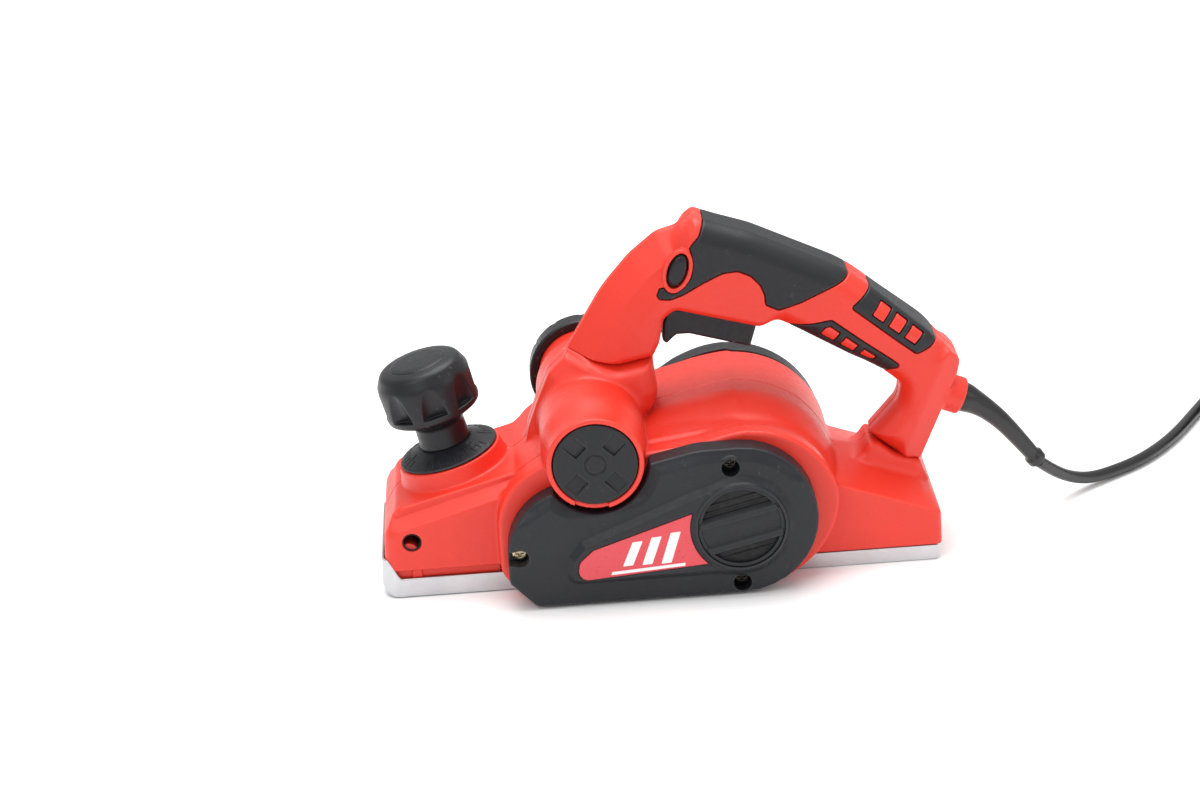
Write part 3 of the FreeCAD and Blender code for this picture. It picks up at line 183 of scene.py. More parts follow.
CARBON = surface("carbon", (0.03, 0.03, 0.032), 0.55, grain=1500, bump=0.25, vary=0.2)
# a darker copy of the screw finish: painted shade for heads sunk in deep holes
SCREW_PAINTED_SHADE = surface("screw_in_painted_shade", (0.07, 0.06, 0.05), 0.35, metal=1.0, grain=800, bump=0.1, vary=0.2)

CAD_FINISH = {
    "red_housing": RED, "dark_plastic": DARK, "soft_grip": SOFT, "sole_metal": SOLE, "steel": STEEL,
    "screws": SCREW, "carbide": CARBIDE, "laminations": IRON, "copper": COPPER, "inner_plastic": INNER,
    "belt_rubber": BELT, "label": LABEL, "cable": CABLE, "brass": BRASS, "carbon": CARBON,
    "spring_steel": STEEL,
}
for part in frame["record"]["subparts"]:
    mesh = frame["nodes"][part["node"]].data
    mesh.materials.clear()
    mesh.materials.append(CAD_FINISH[part["material_slot"]])


# ---------------------------------------------------------------- distance fields

def rounded(corners, steps=8):
    """The points of a closed outline whose corners (x, z, radius) are rounded."""
    points = []
    for i, (x, z, radius) in enumerate(corners):
        here = np.array((x, z), float)
        before = np.array(corners[i - 1][:2], float) - here
        after = np.array(corners[(i + 1) % len(corners)][:2], float) - here
        before /= np.hypot(*before)
        after /= np.hypot(*after)
        half = acos(max(-1, min(1, float(before @ after)))) / 2
        if radius == 0 or abs(half - pi / 2) < 0.01:
            points.append(here)
            continue
        middle = before + after
        centre = here + middle / np.hypot(*middle) * radius / sin(half)
        start = here + before * radius / tan(half) - centre
        end = here + after * radius / tan(half) - centre
        sweep = pi - 2 * half
        for k in range(steps + 1):
            share = k / steps
            points.append(centre + (start * sin((1 - share) * sweep) + end * sin(share * sweep)) / sin(sweep))
    return points


class Space:
    """A lattice of points between two corners."""

    def __init__(self, low, high, step):
        self.low, self.step = np.array(low, np.float32), step
        counts = np.ceil((np.array(high) - self.low) / step).astype(int) + 1
        axes = [(self.low[i] + step * np.arange(counts[i])).astype(np.float32) for i in range(3)]
        self.x, self.y, self.z = axes[0][:, None, None], axes[1][None, :, None], axes[2][None, None, :]

    def outline(self, corners):
        """Signed distance to a rounded outline in the XZ plane."""
        return outline_distance(rounded(corners), self.x, self.z)

    def disc(self, x, z, radius):
        return np.hypot(self.x - x, self.z - z) - np.float32(radius)

    def rod(self, x, z, radius, low, high):
        """A cylinder along Y."""
        return np.maximum(self.disc(x, z, radius), self.between(low, high))

    def between(self, low, high):
        return np.abs(self.y - np.float32((low + high) / 2)) - np.float32((high - low) / 2)

    def slab(self, flat, low, high, radius):
        """An outline's field given thickness along Y, with its edges rounded."""
        side = self.between(low, high)
        return swept(flat, side, radius)

    def block(self, low, high):
        parts = [np.abs(axis - np.float32((a + b) / 2)) - np.float32((b - a) / 2)
                 for axis, a, b in zip((self.x, self.y, self.z), low, high)]
        return np.maximum(np.maximum(parts[0], parts[1]), parts[2])


def outline_distance(points, x, z):
    best = np.float32(1e9)
    inside = False
    for (ax, az), (bx, bz) in zip(points, points[1:] + points[:1]):
        ex, ez = bx - ax, bz - az
        length = ex * ex + ez * ez
        if length < 1e-9:
            continue
        wx, wz = x - np.float32(ax), z - np.float32(az)
        share = np.clip((wx * np.float32(ex) + wz * np.float32(ez)) / np.float32(length), 0, 1)
        best = np.minimum(best, (wx - share * np.float32(ex)) ** 2 + (wz - share * np.float32(ez)) ** 2)
        if abs(ez) > 1e-9:
            inside = inside ^ (((az > z) != (bz > z)) & (x < ax + (z - az) * ex / ez))
    return np.where(inside, -1, 1).astype(np.float32) * np.sqrt(best).astype(np.float32)


def swept(flat, side, radius):
    """Two distances at right angles joined with a rounded outer edge."""
    a, b = flat + radius, side + radius
    return np.hypot(np.maximum(a, 0), np.maximum(b, 0)) + np.minimum(np.maximum(a, b), 0) - radius


def join(a, b, soft=0.0):
    if not soft:
        return np.minimum(a, b)
    h = np.maximum(soft - np.abs(a - b), 0) / soft
    return np.minimum(a, b) - h * h * (soft * 0.25)


def meet(a, b, soft=0.0):
    if not soft:
        return np.maximum(a, b)
    h = np.maximum(soft - np.abs(a - b), 0) / soft
    return np.maximum(a, b) + h * h * (soft * 0.25)


def carve(a, b, soft=0.0):
    return meet(a, -b, soft)


def ease(value, low, high):
    share = np.clip((value - low) / (high - low), 0, 1)
    return share * share * (3 - 2 * share)


# ---------------------------------------------------------------- skins

CORNERS = [(i, j, k) for i in (0, 1) for j in (0, 1) for k in (0, 1)]
EDGES = [(a, b) for a in range(8) for b in range(a + 1, 8)
         if sum(abs(p - q) for p, q in zip(CORNERS[a], CORNERS[b])) == 1]


def sampled(field, places):
    """The field between its lattice points, at places in lattice units."""
    limit = np.array(field.shape) - 1.001
    places = np.clip(places, 0, limit)
    base = places.astype(int)
    share = (places - base).astype(np.float32)
    total = 0
    for i, j, k in CORNERS:
        weight = 1
        for axis, bit in enumerate((i, j, k)):
            weight = weight * (share[:, axis] if bit else 1 - share[:, axis])
        total = total + weight * field[base[:, 0] + i, base[:, 1] + j, base[:, 2] + k]
    return total


def slope(field, places):
    grads = []
    for axis in range(3):
        shift = np.zeros(3)
        shift[axis] = 0.6
        grads.append(sampled(field, places + shift) - sampled(field, places - shift))
    grads = np.stack(grads, 1)
    return grads / np.maximum(np.linalg.norm(grads, axis=1, keepdims=True), 1e-9)


def skinned(field):
    """Vertices, in lattice units, and quads of the field's zero surface."""
    inside = field < 0
    count = np.zeros([n - 1 for n in field.shape], np.uint8)
    for i, j, k in CORNERS:
        count += inside[i:i + count.shape[0], j:j + count.shape[1], k:k + count.shape[2]]
    cells = (count > 0) & (count < 8)
    at = np.stack(np.nonzero(cells), 1)
    number = np.full(cells.shape, -1, np.int32)
    number[cells] = np.arange(len(at))
    values = [field[at[:, 0] + i, at[:, 1] + j, at[:, 2] + k] for i, j, k in CORNERS]
    total, hits = np.zeros((len(at), 3)), np.zeros(len(at))
    for a, b in EDGES:
        crossed = (values[a] < 0) != (values[b] < 0)
        share = np.where(crossed, values[a] / np.where(crossed, values[a] - values[b], 1), 0)
        start, step = np.array(CORNERS[a]), np.array(CORNERS[b]) - np.array(CORNERS[a])
        total += np.where(crossed[:, None], start + share[:, None] * step, 0)
        hits += crossed
    places = at + total / hits[:, None]
    quads = []
    for axis in range(3):
        u, v = (axis + 1) % 3, (axis + 2) % 3
        first = [slice(None)] * 3
        second = [slice(None)] * 3
        first[axis], second[axis] = slice(0, -1), slice(1, None)
        a, b = inside[tuple(first)], inside[tuple(second)]
        spot = np.stack(np.nonzero(a != b), 1)
        spot = spot[(spot[:, u] > 0) & (spot[:, v] > 0) & (spot[:, u] < inside.shape[u] - 1)
                    & (spot[:, v] < inside.shape[v] - 1)]
        ring = []
        for du, dv in ((0, 0), (1, 0), (1, 1), (0, 1)):
            near = spot.copy()
            near[:, u] -= du
            near[:, v] -= dv
            ring.append(number[near[:, 0], near[:, 1], near[:, 2]])
        ring = np.stack(ring, 1)
        outward = a[spot[:, 0], spot[:, 1], spot[:, 2]]
        ring = np.where(outward[:, None], ring, ring[:, ::-1])
        quads.append(ring)
    return places, np.concatenate(quads)


def relaxed(field, places, quads, rounds):
    """The skin evened out and drawn back on to the surface."""
    start = quads.ravel()
    end = np.roll(quads, -1, axis=1).ravel()
    both, other = np.concatenate((start, end)), np.concatenate((end, start))
    degree = np.maximum(np.bincount(both, minlength=len(places)), 1)
    for _ in range(rounds):
        mean = np.stack([np.bincount(both, places[other, axis], len(places)) for axis in range(3)], 1)
        moved = places * 0.5 + 0.5 * mean / degree[:, None]
        for _ in range(2):
            away = sampled(field, moved)
            moved = moved - np.clip(away, -1, 1)[:, None] * slope(field, moved)
        places = moved
    return places


def object_of(name, vertices, faces, material, body, nodes=(), normals=None):
    mesh = bpy.data.meshes.new(name)
    if isinstance(faces, np.ndarray):
        mesh.vertices.add(len(vertices))
        mesh.vertices.foreach_set("co", np.asarray(vertices, np.float32).ravel())
        mesh.loops.add(faces.size)
        mesh.loops.foreach_set("vertex_index", faces.astype(np.int32).ravel())
        mesh.polygons.add(len(faces))
        mesh.polygons.foreach_set("loop_start", np.arange(0, faces.size, faces.shape[1], dtype=np.int32))
        mesh.update(calc_edges=True)
    else:
        mesh.from_pydata([tuple(v) for v in vertices], [], faces)
    mesh.polygons.foreach_set("use_smooth", np.ones(len(mesh.polygons), bool))
    if normals is not None:
        mesh.normals_split_custom_set_from_vertices(normals.tolist())
    mesh.materials.append(material)
    item = bpy.data.objects.new(name, mesh)
    bpy.context.scene.collection.objects.link(item)
    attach(item, body)
    if nodes:
        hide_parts(*nodes)
    return item


def moulded(name, space, field, material, body, nodes=(), place=None, rounds=2):
    """A piece skinned from a field, moved by place where the field has its own axes."""
    field = np.ascontiguousarray(np.broadcast_to(field, np.broadcast_shapes(
        field.shape, (space.x.size, space.y.size, space.z.size)))).astype(np.float32) / space.step
    places, quads = skinned(field)
    places = relaxed(field, places, quads, rounds)
    normals = slope(field, places)
    vertices = (places * space.step + space.low) * MM
    if place is not None:
        matrix = np.array(place)
        vertices = vertices @ matrix[:3, :3].T + matrix[:3, 3]
        normals = normals @ matrix[:3, :3].T
    return object_of(name, vertices, quads, material, body, nodes, normals)


# ---------------------------------------------------------------- cord

CORD_ROUTE = [
    (199, 8, 28), (206, 14, 20.5), (217, 24, 11), (230, 34, 4.6), (246, 45, 3.2), (262, 57, 3.2),
    (277, 74, 3.2), (290, 93, 3.2), (302, 114, 3.2), (315, 136, 3.2), (331.2, 156.6, 3.2),
]
CORD_TAIL = [(405.4, 126, 22.6), (405, 112, 20.4), (405, 100, 18.2), (405, 86, 18)]


def coil_points():
    """Three flat layers of turns, wound clockwise seen from above, then over the top to the tail."""
    per_turn = 14
    centre, shrink = (364, 132), 0.975
    stages = [(2.2, 41.4, 27.4, 3.2, 3.2), (0.15, 27.4, 26.6, 3.2, 9.8), (2.3, 26.6, 41.0, 9.8, 9.8),
              (0.15, 41.0, 41.6, 9.8, 16.4), (2.3, 41.6, 26.9, 16.4, 16.4), (0.2, 26.9, 26.2, 16.4, 23.0),
              (1.0976, 26.2, 41.0, 23.0, 23.0)]
    total = sum(stage[0] for stage in stages)
    start = atan2(0.6, -0.8)
    points = []
    for k in range(1, round(total * per_turn)):
        turned = k / per_turn
        past = 0
        for length, r0, r1, z0, z1 in stages:
            if turned <= past + length:
                share = (turned - past) / length
                radius, height = r0 + (r1 - r0) * share, z0 + (z1 - z0) * share
                break
            past += length
        angle = start - 2 * pi * turned
        # the curve runs a little inside its control points
        reach = radius / shrink
        points.append((centre[0] + reach * cos(angle), centre[1] + reach * sin(angle), height))
    return points


def make_cord():
    points = CORD_ROUTE + coil_points() + CORD_TAIL
    data = bpy.data.curves.new("mains_cord", "CURVE")
    data.dimensions = "3D"
    spline = data.splines.new("NURBS")
    spline.points.add(len(points) - 1)
    for point, place in zip(spline.points, points):
        point.co = (place[0] * MM, place[1] * MM, place[2] * MM, 1)
    spline.order_u = 3
    spline.use_endpoint_u = True
    spline.resolution_u = 6
    data.bevel_depth = 3.2 * MM
    data.bevel_resolution = 5
    data.use_fill_caps = True
    data.materials.append(CABLE)
    cord = bpy.data.objects.new("mains_cord", data)
    bpy.context.scene.collection.objects.link(cord)
    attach(cord, "planer")
    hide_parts("cord", "cord_coil", "cord_tail")
    return cord


cord = make_cord()


def spun(space, corners):
    """A rounded half profile (radius, along) turned about the space's Z axis."""
    points = rounded(corners)
    reach = float(np.hypot(np.abs(space.x).max(), np.abs(space.y).max())) + 1
    radii = np.arange(0, reach, 0.2, dtype=np.float32)
    table = outline_distance(points, radii[:, None], space.z[0])
    far = np.hypot(space.x, space.y)[:, :, 0] / 0.2
    base = np.minimum(far.astype(int), len(radii) - 2)
    share = (far - base)[:, :, None]
    return table[base] * (1 - share) + table[base + 1] * share


def make_plug():
    """The mains plug with its ribbed neck, in its own axes: Z runs back along the cord."""
    space = Space((-20, -20, -2), (20, 20, 42), 0.5)
    flat = spun(space, [
        (0, 0, 0), (17.6, 0, 1.5), (17.8, 5, 3), (15.2, 17, 8), (8.4, 24, 5), (5.6, 40, 1), (0, 40, 0),
    ])
    grooves = []
    for k in range(4):
        start = 26 + 3.2 * k
        grooves.append(spun(space, [(4.4, start, 0), (4.4, start + 1, 0), (9, start + 1, 0), (9, start, 0)]))
    hollow = np.hypot(np.hypot(np.abs(space.x) - 24, space.y), (space.z - 10) * 0.8) - 11
    body = carve(carve(flat, np.minimum.reduce(grooves), 0.5), hollow, 2.5)
    place = Matrix.Translation((0.405, 0.050, 0.018)) @ Matrix.Rotation(radians(-90), 4, "X")
    return moulded("plug_body", space, body, CABLE, "planer", ("cord_plug",), place)


plug = make_plug()


# ---------------------------------------------------------------- outlines

# Each outline is a list of (x, z, corner radius), and each place is an (x, z), in millimetres.

BODY_TOP = [
    (-139, -40, 0), (-138.6, 14, 0), (-137.5, 33, 12), (-130.5, 45, 6), (-70, 60.5, 6), (-56, 71.5, 8),
    (-8, 73.5, 6), (12, 76.8, 10), (40, 80.3, 10), (75, 67, 5), (86.5, 55, 6), (111, 50, 12),
    (134.5, 40.5, 7), (142, 25, 6), (142.3, -40, 0),
]
NECK = [
    (-66, 55, 0), (-61.5, 74, 8), (-56.8, 86, 20), (-49.8, 101.8, 12), (-41, 110, 8), (-39.5, 113.2, 0),
    (-31, 110.2, 10), (-16, 106.2, 20), (3, 109.7, 0), (3.2, 102, 5), (4.5, 91, 8), (1.5, 82, 8), (-6, 76, 3),
    (-6, 55, 0),
]
STUB = [
    (104, 47, 0), (109.8, 54.6, 2), (115.2, 52.8, 4), (122.6, 46.8, 8), (135.4, 42, 0), (139, 32, 0),
    (112, 32, 0),
]
LEG_EDGE = [(-20.5, 143.5, 80), (-6, 159.5, 40), (8, 170.5, 14), (18, 173, 8), (27, 179.6, 4)]
HANDLE = [
    (-39.5, 113.2, 0), *LEG_EDGE,
    (38, 175.2, 20), (55, 169.3, 60), (102, 146.2, 80), (140, 113.3, 60), (157.4, 95, 6), (155.6, 86, 14),
    (136.2, 42, 0), (122.6, 46.9, 8), (115.2, 52.9, 4), (110.9, 57.6, 0), (125.8, 74, 12), (127, 83, 6),
    (118, 91, 6), (76, 117, 6), (65, 123.4, 7), (56.5, 121.3, 5), (15, 133.4, 5), (9.3, 129, 5),
    (6.5, 116.4, 12), (3, 109.8, 0), (-16, 106.3, 20), (-31, 110.3, 10),
]
HANDLE_FRONT = [
    (-72, 40, 0), (-66, 55, 4), (-61.5, 74, 8), (-56.8, 86, 20), (-49.8, 101.8, 12), (-41, 110, 8),
    (-39.5, 113.2, 3), *LEG_EDGE, (40, 190, 0), (300, 190, 0), (300, 40, 0),
]
FLANGE = [
    (-80.3, 14, 14), (-80.3, 64, 36), (-50, 72.5, 12), (-8, 72.9, 10), (20, 76.3, 20), (45, 80.2, 0),
    (60, 60, 0), (60, -20, 0), (-71, -20, 0), (-71, 1.7, 3),
]
CREST = [
    (-30, 40, 0), (-30, 74, 0), (-12, 75.5, 3), (5, 81.1, 10), (24.6, 85.9, 12), (43, 88, 0), (60, 70, 0),
]
COVER = [
    (-76.3, 15, 5), (-76.3, 61.8, 34.2), (-26, 61.8, 4), (-12, 71, 4), (20, 77.8, 40), (78, 77.8, 38.1),
    (78, 1.5, 38.1), (-63.5, 1.5, 4),
]
GRIP_FRONT = [
    (36, 188, 0), (32, 178.5, 2), (28.8, 171.5, 2), (24.0, 166.0, 2), (24.6, 162, 2), (25, 156.8, 2),
    (23.9, 150.6, 2), (20.4, 145.8, 2), (15.4, 142.6, 2), (11.7, 143.8, 1), (10.4, 145.9, 1), (8, 145.2, 1),
    (6.6, 142.2, 1), (7.7, 140.2, 1), (13.1, 139.8, 4), (19.7, 142, 6), (29.6, 147.3, 12), (39.5, 151.7, 8),
    (47, 152.3, 6), (53.4, 149.3, 6), (58, 144, 5), (59.9, 138.7, 4), (60.2, 133.5, 1.5), (66.6, 130.2, 3),
    (77.5, 133.4, 12), (90.7, 139.2, 10), (99.6, 142.8, 4), (106.4, 147.6, 1), (121, 165, 0), (75, 188, 0),
]
GRIP_REAR = [
    (128, 151, 0), (118.6, 141.0, 1), (102.6, 128.6, 1.5), (134.7, 101.2, 2), (140.7, 104, 1), (150, 111, 0),
    (160, 130, 0),
]
GRIP_UNDER = [
    (71.2, 116, 0), (71.8, 120.7, 1), (81.6, 121.1, 3), (92.5, 122.8, 1.5), (127, 94.8, 1.5),
    (121.5, 93.3, 1), (116.5, 90, 0), (80, 104, 0),
]
HALF_WIDTH = 41
DRUM = (-42, 28)
MOTOR = (40, 41)
VENT = (39.4, 38.2)
FENCE_HOLE = (-123.8, 29.6)
CORD_BOSS = (158.7, 70.4)
BUTTON = (17.3, 154.6)
COVER_SCREWS = ((-70.3, 28.1), (35.6, 68.6), (38.9, 6.7))
BODY_SCREWS = ((-126, 23), (-84, 50), (104, 20), (131, 20))
HANDLE_SCREWS = ((-12, 123), (86, 133), (146, 96), (128, 62))
PORT = (-30.3, 76)
KNOB_FOOT = (-102.6, 61)
KNOB_LEAN = radians(14)
KNOB_PLACE = (Matrix.Translation((KNOB_FOOT[0] * MM, 0, KNOB_FOOT[1] * MM))
              @ Matrix.Rotation(-KNOB_LEAN, 4, "Y"))
KNOB_AXIS = (-sin(KNOB_LEAN), cos(KNOB_LEAN))


# ---------------------------------------------------------------- body

def column(values):
    """A row of values along X, shaped to spread over Y and Z."""
    return values.astype(np.float32)[:, None, None]


def front_body(s, flat):
    """The narrower upper body in front of the drum, with the proud side panels below it."""
    x, z, across = s.x, s.z, np.abs(s.y)
    front = swept(flat, s.between(-33.5, 33.5), 1.2 + 5.5 * ease(x, -127, -135))
    panel_top = 42.7 + 0.288 * (x + 105)
    chamfer = ((z - panel_top) - (HALF_WIDTH - across) * 0.64) * 0.842
    panel = meet(s.slab(flat, -HALF_WIDTH, HALF_WIDTH, 7.0), chamfer, 0.6)
    return join(front, panel, 0.3)


def rear_body(s, flat):
    """The rear body, its top falling from the parting line to a crease on each side."""
    x, y, z = s.x, s.y, s.z
    crease = 43.5 - 0.366 * (x - 92.2)
    ridge = column(np.interp(x.ravel(), (60, 86, 111, 134, 142), (58, 52.6, 47.8, 39.5, 27)))
    lean = np.maximum((ridge - crease) / HALF_WIDTH, 0.05)
    slope_side = (z - ridge + np.sqrt(y * y + 9) * lean) / np.sqrt(1 + lean * lean)
    return meet(s.slab(flat, -HALF_WIDTH, HALF_WIDTH, 3.5), slope_side, 1.0)


def motor_bulge(s):
    """The hump over the motor, which runs down into the flange that carries the belt cover."""
    y = s.y
    flange = join(s.outline(FLANGE), meet(s.disc(46, 36, 45), s.disc(41, 46, 49.7), 2), 3)
    hump = join(s.outline(CREST), s.disc(43, 38, 50), 3)
    share = ease(y, -39, -11)
    dip = 1.5 * np.exp(-((y + 36.5) / 4.5) ** 2)
    profile = (flange + dip) * (1 - share) + hump * share
    bulge = swept(profile, s.between(-52, 42), 2.2)
    rim = s.slab(flange, -52, -38, 2.2)
    share = ease(s.x, -40, -2)
    return bulge * share + rim * (1 - share)


def front_foot(s):
    """The front leg's foot on the outlet's boss, which runs right across the body."""
    y, z, across = s.y, s.z, np.abs(s.y)
    seam = np.interp(s.x.ravel(), (-45, -39.5, -31, -16, 3, 6), (117, 113.2, 110.2, 106.2, 109.7, 110))
    below = column(seam) - z
    shoulder = 3.4 * ease(below, 0, 5.5)
    lead = s.outline(HANDLE_FRONT)
    neck = swept(s.outline(NECK), across - 17.2 - shoulder, 9)
    edges = np.maximum(0.676 * lead + 0.737 * across - 2.2, 0.294 * lead + 0.956 * across - 9.8)
    neck = meet(neck, edges - shoulder * 0.9, 0.6)
    neck = meet(neck, z - 119)
    taper = 24 + 2.2 * ease(y, -62, -40) * ease(y, 52, 35)
    boss = swept(s.disc(*PORT, 0) - taper, s.between(-68, 62), 0.9)
    return join(neck, boss, 3.0)


def body_field(s):
    x, y, z = s.x, s.y, s.z
    across = np.abs(y)
    flat = s.outline(BODY_TOP)
    share = ease(x, -74, -62)
    body = front_body(s, flat) * (1 - share) + s.slab(flat, -HALF_WIDTH, HALF_WIDTH, 6.0) * share
    share = ease(x, 66, 88)
    body = body * (1 - share) + rear_body(s, flat) * share
    body = join(body, motor_bulge(s), 2.0)
    body = join(body, front_foot(s), 1.6)
    # the dial's seat and the rear leg's foot
    along = (x - KNOB_FOOT[0]) * KNOB_AXIS[0] + (z - KNOB_FOOT[1]) * KNOB_AXIS[1]
    side = (x - KNOB_FOOT[0]) * KNOB_AXIS[1] - (z - KNOB_FOOT[1]) * KNOB_AXIS[0]
    far = np.hypot(side, y)
    seat = np.maximum(far - (26.4 - along * 0.2), np.maximum(along, -along - 22))
    body = join(body, seat, 1.5)
    stub = s.slab(s.outline(STUB), -15, 15, 4)
    body = join(body, stub, 5.0)
    # cut level underneath, then hollowed
    floor = np.where(y < -HALF_WIDTH - 0.1, 1.7, np.where(x < -14, 14.3, 7.7)).astype(np.float32)
    outer = meet(body, floor - z, 0.8)
    body = meet(outer, -(outer + 3.0), 0.4)
    for hole in (
        s.rod(*PORT, 21.9, -61, 80), s.rod(*PORT, 21.35, -80, -60), np.maximum(far - 9, along - 1),
        s.block((-41.4, -75, 51), (-25.2, -65.4, 57)),
        s.rod(*DRUM, 32.9, -41.5, 42), s.block((-74.1, -41.5, 0), (-9.9, 42, 30)),
        s.block((-82, -41.3, -10), (-12, 42, 14)),
        s.rod(*DRUM, 15.1, -60, -38), s.rod(*MOTOR, 11.1, -60, -36), s.rod(*FENCE_HOLE, 4.7, -50, -29),
    ):
        body = meet(body, -hole, 0.4)
    for px, pz in BODY_SCREWS:
        body = join(body, np.maximum(s.rod(px, pz, 5.4, -39, 38), outer + 1.0))
        body = meet(body, -s.rod(px, pz, 4.2, 37, 60), 0.4)
    # a strip hangs behind the front shoe's edge, and the parting line runs over the top
    strip = np.maximum(np.abs(across - 37.4) - 0.9, np.maximum(np.abs(x + 107) - 26.5, np.abs(z - 12) - 2.8))
    rib = np.maximum(np.abs(across - 37.9) - 1.2, np.maximum(np.abs(x + 122.4) - 2.6, np.abs(z - 12) - 2.8))
    body = join(body, join(strip, rib))
    line = np.maximum(across - 0.35, np.maximum(np.abs(body) - 0.55, 20 - z))
    return meet(body, -line, 0.3)


def make_body():
    space = Space((-143, -71, -1), (147, 65, 122), 0.75)
    moulded("body_housing", space, body_field(space), RED, "planer",
            ("body_left_shell", "body_right_shell"))


make_body()


# ---------------------------------------------------------------- handle

def cord_boss(s):
    """Distances along and around the boss that the cord leaves by."""
    lean, drop = 0.92, 0.392
    run = (s.x - CORD_BOSS[0]) * lean - (s.z - CORD_BOSS[1]) * drop
    return run, np.hypot((s.x - CORD_BOSS[0]) * drop + (s.z - CORD_BOSS[1]) * lean, s.y)


def handle_shape(s):
    x, y, z = s.x, s.y, s.z
    flat = s.outline(HANDLE)
    lead = s.outline(HANDLE_FRONT)
    across = np.abs(y)
    wedge = np.maximum(0.676 * lead + 0.737 * across - 1.7, 0.294 * lead + 0.956 * across - 9.2)
    leg = meet(s.slab(flat, -17, 17, 4.0), wedge, 0.5)
    # round over the grip, squarer along the trigger's bulge
    bulge_line = 133.6 - 0.2275 * (x - 15)
    squarer = ease(z - bulge_line, 15, 5) * ease(x, 70, 58)
    grip = swept(flat, s.between(-17, 17), 10.5 - 4 * ease(x, 112, 140) - 6.5 * squarer)
    share = ease(x + (z - 150) * 0.25, 18, 30)
    shape = leg * (1 - share) + grip * share
    # the rear leg: rounded towards the gap, with a long bevel outside
    outside = (x - 155.6) * 0.915 - (z - 86) * 0.403
    low = ease(z, 112, 98) * ease(x, 100, 112)
    rear = swept(flat, s.between(-15.5, 15.5), 11 - 8 * ease(outside, -15, -8))
    rear = meet(rear, 0.509 * (outside + 11) + 0.861 * (across - 15.5), 0.8)
    shape = shape * (1 - low) + rear * low
    run, ring = cord_boss(s)
    boss = swept(ring - 9.6, np.maximum(run, -run - 16), 1.2)
    return join(shape, boss, 1.2)


def button_distance(s, grow):
    """Signed distance to the lock-off button's oval, seen from the side."""
    x, z, lean = s.x - BUTTON[0], s.z - BUTTON[1], radians(20)
    u = x * cos(lean) - z * sin(lean)
    v = x * sin(lean) + z * cos(lean)
    wide, tall = 4.5 + grow, 8.9 + grow
    return ((np.hypot(u / wide, v / tall) - 1) * wide).astype(np.float32)


GRIPS = {
    "front_grip_skin": (GRIP_FRONT, ("front_grip",)),
    "rear_grip_skin": (GRIP_REAR, ("rear_grip",)),
    "under_grip_skin": (GRIP_UNDER, ()),
}
WINDOWS = {
    "rear_grip_skin": [(117.5, 130.5, 1), (110.5, 125.6, 1), (134, 106, 1), (140.5, 110.5, 1)],
    "under_grip_skin": [(82, 118.4, 1), (92, 119.8, 1), (119.5, 97.2, 1), (110, 99.8, 1)],
}


def window_bars(s, name):
    """Three plain slanted bars that fill a grip's window."""
    frame_line = s.outline(WINDOWS[name])
    (ax, az, _), (bx, bz, _), (cx, cz, _), (dx, dz, _) = WINDOWS[name]
    sx, sz = (cx + dx - ax - bx) / 2, (cz + dz - az - bz) / 2
    length = hypot(sx, sz)
    run = ((s.x - (ax + bx) / 2) * sx + (s.z - (az + bz) / 2) * sz) / length
    return frame_line, np.abs(((run / length * 3) % 1) - 0.5) * (length / 3) - length / 3 * 0.36


def make_handle():
    """The red halves and the three soft skins let into them."""
    space = Space((-44, -21, 38), (168, 21, 184), 0.6)
    shape = handle_shape(space)
    red = shape
    for name, (zone, nodes) in GRIPS.items():
        area = space.outline(zone)
        skin = meet(np.maximum(shape, -(shape + 2.0)), area, 0.9)
        bed = np.maximum(area - 0.4, -(shape + 2.3))
        if name in WINDOWS:
            line, bars = window_bars(space, name)
            opening = np.maximum(line, bars)
            skin = carve(skin, opening, 0.6)
            bed = carve(bed, opening + 0.45)
        red = carve(red, bed, 0.35)
        moulded(name, space, skin, SOFT, "planer", nodes)
    red = meet(red, -(shape + 3.4), 0.4)
    slot_zone = space.outline([(5, 108, 0), (5, 142, 0), (57.4, 131.1, 0), (57.4, 104, 0)])
    red = carve(red, np.maximum(slot_zone, space.between(-8.2, 8.2)), 0.6)
    ring = np.maximum(button_distance(space, 2.6), np.abs(np.abs(space.y) - 15.4) - 1.9)
    red = join(red, ring, 0.8)
    red = carve(red, button_distance(space, 0.55), 0.4)
    for hx, hz in HANDLE_SCREWS:
        red = join(red, np.maximum(space.rod(hx, hz, 4.6, -15, 14), shape + 0.3))
        red = carve(red, space.rod(hx, hz, 3.7, 13, 30), 0.4)
    line = np.maximum(np.abs(space.y) - 0.32, np.abs(shape) - 0.5)
    red = carve(red, line, 0.3)
    red = carve(red, np.maximum(cord_boss(space)[1] - 7.9, 149 - space.x), 0.3)
    moulded("handle_housing", space, red, RED, "planer",
            ("handle_left_shell", "handle_right_shell"))


make_handle()


def make_button():
    """The lock-off button, one bar right through the handle."""
    space = Space((8, -19.5, 140), (27, 19.5, 169), 0.4)
    button = swept(button_distance(space, -0.15), space.between(-17.9, 17.9), 2.2)
    moulded("lock_button", space, button, FINE_DARK, "lock_off", ("lock_off_button",))


make_button()


def make_trigger():
    """The trigger blade with the bore for its pin."""
    space = Space((6, -9, 106), (60, 9, 134), 0.45)
    blade = space.outline([
        (8.4, 115, 1), (10.3, 112.9, 1), (15.5, 117.5, 3), (22, 117.4, 6), (52.2, 108.2, 1.5), (56.6, 122, 4),
        (56.6, 130.3, 3), (48.4, 130.3, 3), (48.2, 124.4, 0.5), (46, 124.5, 1), (22, 131.2, 3),
        (11.8, 131.6, 3), (9, 124, 4),
    ])
    trigger = space.slab(blade, -7.5, 7.5, 1.6)
    trigger = carve(trigger, space.rod(52.5, 127, 1.8, -9, 9), 0.2)
    moulded("trigger_blade", space, trigger, DARK, "trigger_lever", ("trigger",))


make_trigger()


# ---------------------------------------------------------------- belt cover

